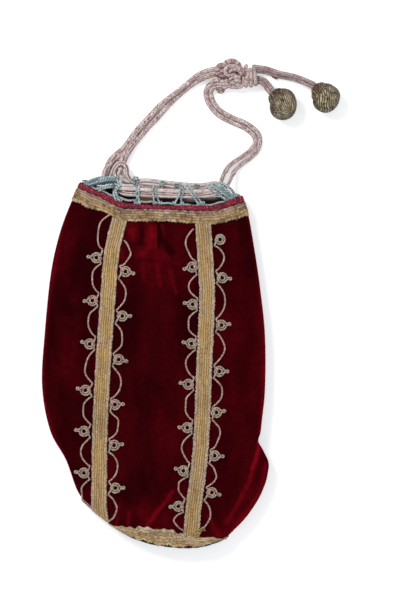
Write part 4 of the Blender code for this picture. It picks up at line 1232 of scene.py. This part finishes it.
def add_knot(mats):
    parts = Parts()
    looks = {"plait": plait, "ribbed": ribbed, "dark_cord": dark_cord}
    for kind, diameter, points in KNOT_CORDS:
        rope(parts, raised(through(seen(points)), 0.5 * diameter * MM), diameter * MM, looks[kind], sides=40)
    for kind, _, points in UPPER_TURNS:
        under = [(px, py, 1.35 + 0.30 * (KNOT_TOP - z)) for px, py, z in points]
        rope(parts, through(seen(under)), 2.3 * MM, looks[kind], sides=32)
    rope(parts, through(seen(KNOT_CORE)), 0.0058, dark_cord, step=0.0004, sides=28)
    rope(parts, through(seen(KNOT_LOBE)), 0.0046, plait)
    a = np.linspace(0, TURN, 91)[:-1]
    for px, py, high, deep, lean in KNOT_TURNS:
        tilt = math.tan(math.radians(lean))
        path = seen((px, py, 4.6)) + np.stack([tilt * high * np.sin(a), high * np.sin(a), deep * np.cos(a)], 1) * MM
        rope(parts, raised(path, 0.5 * CORD_DIAMETER), CORD_DIAMETER * 0.96, plait, step=0.00026, sides=28, closed=True)
    return rigid(parts.make("drawstring_knot_tied", mats["cord"]), "knot", "cord", "drawstring_knot")


def side_by_side(path, apart, hand, lean=0.0):
    """One of two strands that run together; lean, in degrees, is how far the pair turns over in its middle."""
    tangents = np.gradient(path, axis=0)
    across = normed(np.stack([-tangents[:, 1], tangents[:, 0], np.zeros(len(path))], 1))
    turn = math.radians(lean) * np.sin(np.linspace(0, math.pi, len(path)))[:, None] ** 0.8
    return path + (across * np.cos(turn) + UP * np.sin(turn)) * (hand * 0.5 * apart)


def tail_path(which):
    centre, neck = free(BALL_CENTRES[which]), unit_of(BALL_NECKS[which])
    last = [centre + neck * (0.5 * BALL_DIAMETER + out) for out in (CORD_DIAMETER, -0.0012)]
    points = [*free(TAIL_POINTS[which]), *last]
    return through([points[0] + (points[0] - points[1]) * 0.45, *points], 20)


TAIL_THICK = {
    "left": ((0, 0.98), (0.1, 0.98)),
    "right": ((0, 1.06), (0.012, 1.14), (0.024, 1.08), (0.034, 0.9), (0.1, 0.88)),
}


def add_tail(which, mats):
    pieces = []
    for n, hand in enumerate((-1, 1), 1):
        path = side_by_side(tail_path(which), CORD_SPACING * 0.82, hand, 48 if which == "right" else 0)
        ob = one_rope("tail_%s_cord_%d" % (which, n), mats["cord"], raised(path, 0.5 * CORD_DIAMETER), CORD_DIAMETER,
                      dull_plait, thick=TAIL_THICK[which])
        pieces.append((rigid(ob, "tail_" + which, "cord", "tail_%s_strand_%d" % (which, n)), path))
    return pieces


def add_frayed_end(mats):
    """A reddish end of cord that sticks out below the right tail's strands."""
    parts = Parts()
    for shift, long in ((0.0, 1.0), (0.5, 0.8), (-0.5, 0.7)):
        points = ((272.0, 75.6 + shift, 2.4), (275.0, 77.0 + shift, 2.0), (277.5, 78.2 + shift, 1.4),
                  (280.0, 79.0 + 1.4 * shift, 1.0))
        rope(parts, cut(through(seen(points), 10), 0.0, 0.0042 * long), 0.0008, dark_cord, step=0.00022, sides=14,
             dull=0.6)
    return rigid(parts.make("tail_right_frayed_end", mats["cord"]), "tail_right", "cord")


# How the thread is wound on each ball: the direction across its threads, the side of the ball that they cover, how
# bright they are, how brown and how silvery
BALL_WINDINGS = {
    "left": (((0.95, -0.1, 0.2), (0.8, 0.15, 0.5), 1, 0, 0.1), ((0.2, 0.95, 0.2), (-0.1, -0.85, 0.5), 0.95, 0, 0.45),
        ((0.6, 0.7, 0.2), (-0.55, 0.65, 0.5), 0.62, 0.5, 0), ((0.3, 0.9, -0.3), (-0.9, -0.1, 0.4), 0.5, 0.2, 0.1),
        ((0.8, 0.5, 0.2), (0.1, 0.95, 0.3), 0.7, 0.3, 0.2), ((0.85, 0.45, 0.25), (0.05, 0, 1), 0.95, 0.05, 0.25)),
    "right": (((0.98, 0.05, 0.1), (-0.1, -0.3, 0.85), 1, 0, 0.2), ((0.52, 0.05, 0.85), (0.95, 0.1, 0.25), 0.95, 0, 0.4),
        ((0.72, 0.68, 0.15), (-0.7, 0.65, 0.35), 0.75, 0.7, 0), ((0.9, -0.3, 0.2), (-0.8, -0.5, 0.25), 0.6, 0.2, 0.1)),
}
THREAD_PITCH = {"left": 1.10, "right": 1.35}
# Threads that run from each ball's neck over it: turns round the neck in degrees, then the angles they run from and to
NECK_THREADS = {
    "left": ((200, 0.25, 0.8), (235, 0.2, 0.95), (262, 0.25, 0.85), (290, 0.2, 1), (318, 0.25, 0.8)),
    "right": ((180, 0.15, 0.75), (204, 0.12, 0.95), (226, 0.12, 1.05), (248, 0.12, 0.9), (270, 0.12, 1.05),
        (292, 0.12, 0.9), (314, 0.15, 1), (338, 0.15, 0.75)),
}
# Lumps of each ball: how much, where and how wide
BALL_LUMPS = {
    "left": ((0.07, (-0.80, 0.58, 0.15), 0.05), (0.035, (-0.85, -0.52, 0.1), 0.06)),
    "right": ((0.06, (0.90, 0.42, 0.1), 0.08), (0.12, (-0.72, 0.68, 0.20), 0.07), (0.04, (-0.80, -0.60, 0.1), 0.08)),
}
THREAD_HEIGHT = 0.00085


def unit_of(direction):
    return np.array(direction) / norm(direction)


def ball_radius(which, unit, high):
    """The ball's radius in metres in each direction: lumpy, flattened on its left, with its threads' height."""
    x, y = unit[..., 0], unit[..., 1]
    if which == "left":
        shape = (0.018 * np.sin(4.2 * x + 1.7) * np.cos(3.1 * y) - 0.035 * clamp(-x) + 0.115 * y ** 2
                 + 0.05 * clamp(-y) ** 2 - 0.05 * clamp((-x - 0.5) / 0.5))
    else:
        shape = (0.020 * np.sin(4.4 * x + 4.1) * np.cos(2.7 * y) - 0.12 * clamp((-x - 0.35) / 0.65) ** 1.4
                 + 0.04 * y ** 2)
    for much, direction, wide in BALL_LUMPS[which]:
        shape = shape + much * bell((1 - unit @ unit_of(direction)) / wide)
    return 0.5 * BALL_DIAMETER * (0.935 + shape) + THREAD_HEIGHT * high


def add_ball(which, mats):
    """A button covered with thread wound round it in several directions, gathered at the neck."""
    centre, neck = free(BALL_CENTRES[which]), unit_of(BALL_NECKS[which])
    side = unit_of(np.cross(neck, UP))
    other = np.cross(neck, side)
    rows, cols = 200, 360

    def towards(polar, turn):
        return (np.cos(polar)[..., None] * neck + (np.sin(polar) * np.cos(turn))[..., None] * side
                + (np.sin(polar) * np.sin(turn))[..., None] * other)

    unit = towards(np.linspace(0.02, math.pi - 0.01, rows)[:, None],
                   np.linspace(0, TURN, cols, endpoint=False)[None, :])
    seed = 1.7 if which == "left" else 4.1
    x, y, z = (unit[..., k] for k in range(3))
    sway = (0.045 * np.sin(3.1 * x + seed + 2.3 * y) + 0.030 * np.sin(7.3 * z + 5.1 * y + seed)
            + 0.012 * np.sin(13 * x - 9 * y))
    best = np.full((rows, cols), -9.0)
    high, tone, brown, silver = (np.zeros((rows, cols)) for _ in range(4))
    for k, (across, covers, bright, browned, silvered) in enumerate(BALL_WINDINGS[which]):
        across = unit_of(across)
        at = (np.arcsin(np.clip(unit @ across, -1, 1)) + sway) * 0.5 * BALL_DIAMETER / MM / THREAD_PITCH[which]
        index = np.floor(at)
        cell = scatter(index, np.floor((unit @ np.roll(across, 1)) * 7.0 + scatter(index, 7.0 + k)) + k)
        over = (unit @ unit_of(covers) + 0.14 * np.sin(5.3 * x + 2.7 * k + seed) * np.cos(4.1 * y - k)
                + 0.16 * (scatter(index, 11.0 + k) - 0.5))
        near = over > best
        best = np.maximum(best, over)
        high = np.where(near, np.abs(np.sin(at * math.pi)) ** 0.8, high)
        tone = np.where(near, bright * (0.20 + 0.80 * cell), tone)
        brown = np.where(near, browned * (0.4 + 0.6 * scatter(index, 3.0)), brown)
        silver = np.where(near, silvered, silver)
    blotch = (np.sin(7.1 * x + 3.3 * y + seed) * np.sin(6.2 * y - 5.7 * z + 2 * seed)
              + 0.6 * np.sin(15 * x + 9 * y) * np.sin(13 * y - 11 * z))
    # Painted shade round the ball's middle, where its side turns away: tone and thread relief fall there
    clear_of_rim_shade = clamp(np.abs(z + 0.05)) ** 0.8
    tone = (tone + 0.22 * blotch) * (0.22 + 0.78 * clear_of_rim_shade)
    high = high * (0.40 + 0.60 * clear_of_rim_shade)
    grid = centre + unit * ball_radius(which, unit, high)[..., None]
    grid[..., 2] = np.maximum(grid[..., 2], CLEAR)
    parts = Parts()
    parts.add(grid, tube_faces(rows, cols), relief=high, tone=tone, brown=brown, silver=silver)
    for k, (turn, first, last) in enumerate(NECK_THREADS[which]):
        polar = np.linspace(first, last, 14)
        unit = towards(polar, np.radians(turn) + 0.10 * np.sin(4 * polar + k))
        sunk = 0.0007 * np.linspace(-1, 1, 14) ** 4
        path = centre + unit * (ball_radius(which, unit, 0.0) + THREAD_HEIGHT - sunk)[:, None]
        path[:, 2] = np.maximum(path[:, 2], 0.0007)
        chance = scatter(float(k), seed)
        rope(parts, path, 0.00095, thin_twist, step=0.00022, sides=12, tone=0.10 + 0.6 * chance,
             brown=0.60 if chance < 0.6 else 0.1)
    ball = parts.make("ball_%s_thread" % which, mats["ball"])
    return rigid(ball, "tail_" + which, "ball_thread", "ball_%s_cover" % which)


# Thread loops in pixels of the photograph, each strand from its top to its foot on the rim: strands, then for the
# front ones their diameter in millimetres, and how far they are darkened to navy, as painted shade in the mouth
FRONT_LOOPS = (
    ((((120.5, 179.5), (121.2, 184), (117, 189), (113.9, 193), (116, 200.6)),
      ((117.6, 180.5), (118.6, 185.5), (115.8, 191), (117.4, 196), (120.4, 201.6))), 1.5, 0),
    ((((139.4, 185.6), (138.6, 190), (135.6, 194.5), (139, 199), (138.8, 204)),
      ((136.2, 186.4), (138.6, 191.5), (138.8, 196), (136.6, 200), (135.6, 204.2))), 1.3, 0),
    ((((154.2, 185.4), (153, 190), (153.6, 197), (154.6, 204.2)),
      ((157.4, 185.8), (156, 191), (157.8, 198.5), (160.4, 204.2))), 1.1, 0),
    ((((180.6, 186.6), (180.2, 191), (178.4, 197), (174.2, 204.2)),
      ((183.4, 187.6), (183.2, 193), (181.4, 198), (182, 204.6))), 1.1, 0),
    ((((183.6, 185.6), (188.4, 190.5), (193, 196.5), (198.8, 204.6)),
      ((187.6, 185.2), (191.6, 190.5), (196, 196), (202.8, 204.2))), 1.15, 0),
    ((((205.4, 186), (212, 190.2), (218.6, 195), (226.6, 200.4)),
      ((209.6, 184.6), (216, 188.4), (223, 193.4), (230, 199))), 1.45, 0),
    ((((217, 184.4), (223.4, 188), (229, 192.4), (232.8, 197.8)),
      ((219.8, 182.8), (226.4, 186), (231.8, 190.4), (235.2, 196.2)),
      ((213.4, 184.4), (219.8, 188.4), (226.2, 193.2), (231, 198.6))), 1.6, 0.05),
    ((((117.8, 177.8), (110, 177.8), (103, 179), (96.5, 181.4), (88.4, 184.6)),
      ((116.6, 180.2), (109.4, 180.4), (102.6, 181.6), (96, 183.6), (87.4, 185.4))), 1.55, 0),
    ((((113.6, 184.8), (108, 185.4), (102.8, 187), (98.2, 189.2)),
      ((113, 187.2), (107.6, 187.8), (103.4, 189.2), (100, 191))), 1.35, 0),
    ((((106, 177.4), (98.4, 178.5), (91.4, 180.7), (85.6, 183.9)),), 1.75, 0.4),
    # painted shade: a navy thread laid over the dark gap inside the mouth
    ((((118.2, 183.2), (113.6, 182.4), (107, 182.2), (100, 183.6), (94, 185), (88.6, 186.2)),), 1.35, 0.95),
)
BACK_LOOPS = (
    ((((133.6, 177.4), (134.6, 183), (136.4, 191)), ((137.6, 176.8), (137.2, 182), (138.6, 191))), 0.15),
    ((((160.4, 181.8), (159.6, 186), (160.4, 192)), ((163.4, 182.8), (162.4, 187), (162.8, 192.4))), 0.15),
    ((((174.8, 184), (175.4, 188), (176.4, 193)), ((178.4, 184.8), (177.8, 189), (178.6, 193))), 0.2),
    ((((194.6, 185), (194, 189), (194.4, 193.4)), ((197, 185.6), (196.4, 190), (196.6, 193.6))), 0.3),
)
LOOPS_WITH_NODES = 6  # of the front ones; each back one has a node
LOOP_CLEAR = 0.0021  # from a cord's middle to the thread over it
BACK_CORDS = 0.0046  # height of the drawstrings along the back
BACK_FOOT = 0.0040  # height of the back loops' feet
# The knot on a back loop: pixels from its top, and millimetres above the drawstrings
BACK_KNOT = np.array(((-0.8, 1.6, 1.6), (0.8, -0.4, 2.0), (3.2, -0.2, 2.2), (4.4, 1.4, 2.0), (2.4, 2.4, 2.6),
                      (0.6, 1.2, 2.2)))


def thin_twist(theta, along):
    return twist(theta, along, 2, 1.6, 0.30)


def thread_ring(parts, line, cords, rim_height, diameter, navy):
    """One strand of a loop: from its top beyond the cords over them to the rim, and back under them."""
    line = through([(px, py, 0.0) for px, py in line], 8)
    f = np.linspace(0, 1, len(line))
    over = np.interp(f, (0, 0.10, 0.25, 0.62, 0.88, 1.0), (0.0, 0.75, 1.0, 0.95, 0.45, 0.1))
    below = np.interp(f, (0, 0.12, 0.8, 1.0), (0.0, 0.9, 0.8, 0.35))
    level = cords + (rim_height - cords) * clamp((f - 0.55) / 0.45)
    top = seen(line)
    top[:, 2] = level + LOOP_CLEAR * over
    low = top[::-1].copy()
    low[:, 2] = np.maximum((level - LOOP_CLEAR * below)[::-1], 0.0007)
    rope(parts, np.concatenate([top, low[1:-1]]), diameter * MM, thin_twist, step=0.0003, sides=10, closed=True,
         navy=navy)


def foot_wrap(parts, line, rim_height, navy):
    """The stitch that holds a loop's foot to the edging."""
    centre = seen((line[-1][0], line[-1][1] - 0.9, 0.0))
    centre[2] = rim_height + 0.0002
    a = np.linspace(0, TURN, 25)[:-1]
    for shift in (-0.0006, 0.0006):
        path = centre + np.stack([0.0003 * np.sin(a) + shift, 0.0009 * np.cos(a), 0.0010 * np.sin(a)], 1)
        rope(parts, path, 0.0007, thin_twist, step=0.0003, sides=8, closed=True, navy=navy)


def add_loops(mats):
    for n, (strands, diameter, navy) in enumerate(FRONT_LOOPS, 1):
        parts = Parts()
        for k, line in enumerate(strands):
            cords = front_height(seen((*line[0], 0.0))[0])
            foot = rim("front", share_of(seen((*line[-1], 0.0))[0]), 0.0)[2]
            # each further strand of a loop is a little darker, as painted shade
            thread_ring(parts, line, cords, foot, diameter, navy + 0.18 * k)
            foot_wrap(parts, line, foot, navy)
        nodes = ["rim_loop_front_%d" % n] if n <= LOOPS_WITH_NODES else []
        bag(parts.make("thread_loop_front_%d" % n, mats["loop"]), *nodes, slot="loop_thread")
    for n, (strands, navy) in enumerate(BACK_LOOPS, 1):
        parts = Parts()
        for line in strands:
            thread_ring(parts, line, BACK_CORDS, BACK_FOOT, 1.10, navy)
        knot = np.array(strands[0][0]) + BACK_KNOT[:, :2]
        path = through(seen(np.column_stack([knot, BACK_CORDS / MM + BACK_KNOT[:, 2]])), 10)
        rope(parts, path, 0.00125, thin_twist, step=0.0003, sides=10, navy=navy)
        bag(parts.make("thread_loop_back_%d" % n, mats["loop"]), "rim_loop_back_%d" % n, slot="loop_thread")


def add_edging(mats):
    # the back edging is darkened to navy, as painted shade inside the mouth
    for side, low, navy in (("front", 0.0, 0.0), ("back", 0.0010, 0.85)):
        path = rim(side, np.linspace(0.012, 0.988, 160), np.full(160, 0.0006 + 0.5 * EDGING_DIAMETER))
        path[:, 2] = np.maximum(path[:, 2], low)
        path[:, 1] += 0.0003 * np.sin(np.linspace(0, 60, 160))
        ob = one_rope("mouth_edging_%s_cord" % side, mats["edging"], path, 0.0014, thin_twist, step=0.00028, sides=12,
                      navy=navy)
        bag(ob, "mouth_edging_" + side, slot="loop_thread")


def add_base(mats):
    """The base cloth over the open end, slightly puckered."""
    columns, rows = 90, 14
    t = np.linspace(0.003, 0.997, columns)[None, :]
    f = np.linspace(0, 1, rows)[:, None]
    low, high = (skin(side, t, LAST + 0 * t) for side in ("back", "front"))
    outer = low * (1 - f[..., None]) + high * f[..., None]
    inner = outer.copy()
    pucker = 0.25 + 0.75 * np.abs(np.sin(t * 31 + 1.5 * np.sin(t * 9)))
    bulge = GAP + 0.0011 * np.sin(np.pi * f) ** 0.6 * (0.6 + 0.4 * pucker)
    outer[..., 1] -= bulge + CLEAR
    inner[..., 1] -= 0.4 * bulge
    parts = Parts()
    parts.add(*slab(outer, inner, flip=True))
    base = bag(parts.make("base_cloth_puckered", mats["base"]), "base_cloth", slot="base_cloth")


# Floor, lights and camera

def add_stage():
    """A pale floor, which cameras and reflections see as brighter than its own light makes it."""
    mesh = bpy.data.meshes.new("floor")
    half = 6.0
    mesh.from_pydata([(half * x, half * y, 0) for x, y in ((-1, -1), (1, -1), (1, 1), (-1, 1))], [], [(0, 1, 2, 3)])
    k = Look("pale_floor", 0.95, specular=0.05)
    camera, glossy, through_glass = (k.node("LightPath", {}, "Is %s Ray" % kind)
                                     for kind in ("Camera", "Glossy", "Transmission"))
    seen_straight = k.clamped("ADD", k.add(camera, glossy), through_glass)
    k.put(k.shader, {"Base Color": (0.86, 0.865, 0.88), "Emission Color": (1, 1, 1),
                     "Emission Strength": k.times(seen_straight, 0.42)})
    mesh.materials.append(k.mat)
    link("floor", mesh)


def add_lights():
    world = bpy.data.worlds.new("room")
    bpy.context.scene.world = world
    world.use_nodes = True
    colour, strength = world.node_tree.nodes["Background"].inputs[:2]
    colour.default_value, strength.default_value = (0.95, 0.97, 1.0, 1), 0.58
    for name, at, size, power in (("key", (-0.75, 0.85, 1.30), 0.60, 15.5), ("fill", (0.9, -0.5, 1.5), 1.2, 5.0)):
        data = bpy.data.lights.new(name, "AREA")
        data.shape, data.size, data.energy = "DISK", size, power
        lamp = link(name, data)
        lamp.location = at
        back = np.array(at) - np.array((0.02, 0.03, 0))
        lamp.rotation_euler = (math.acos(back[2] / norm(back)), 0, math.atan2(back[0], -back[1]))


def add_camera():
    """Straight down, at 0.6 mm to a pixel of the 406 by 610 picture at the height of the bag's side seams."""
    away, plane, tall = 2.4, 0.009, 610
    data = bpy.data.cameras.new("camera")
    data.sensor_width = 36
    data.lens = data.sensor_width * away / (PIXEL * MM * tall)
    data.clip_start, data.clip_end = 0.1, 20
    camera = link("camera", data)
    camera.location = (0.0288, 0.0316, away + plane)
    bpy.context.scene.camera = camera


def main():
    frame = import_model()
    bpy.context.scene.view_settings.view_transform = "Standard"
    add_camera()
    add_stage()
    add_lights()
    mats = {
        "velvet": velvet_look(), "metal": metal_look(), "scroll": scroll_look(), "tape": tape_look(),
        "loop": loop_look(), "cord": cord_look(), "ball": ball_look(), "wood": wood_look(),
        # the lining's brown is darkened almost to black, as painted shade inside the bag; the patch shows its own brown
        "lining": woven_look("brown_lining", (0.006, 0.0025, 0.0018), (0.030, 0.012, 0.0065),
                             patch=(0.290, 0.140, 0.055)),
        "edging": loop_look("pale_edging", (0.280, 0.305, 0.330), (0.500, 0.520, 0.530)),
        "base": woven_look("green_cloth", (0.006, 0.026, 0.024), (0.030, 0.105, 0.095), roughness=0.6),
    }
    knot = add_knot(mats)
    tails = {which: add_tail(which, mats) for which in TAIL_POINTS}
    balls = {which: add_ball(which, mats) for which in TAIL_POINTS}
    frayed = add_frayed_end(mats)
    add_legs(mats)
    for ob, path in tails["right"]:
        round(float(run(path)[-1]), 4)
    for add in (add_mouth_cords, add_cloth, add_bands, add_galloons, add_scrolls, add_edging, add_loops, add_base):
        add(mats)
    for which in TAIL_POINTS:
        core = frame["nodes"]["ball_%s_core" % which]
        core.data.materials.clear()
        core.data.materials.append(mats["wood"])


main()
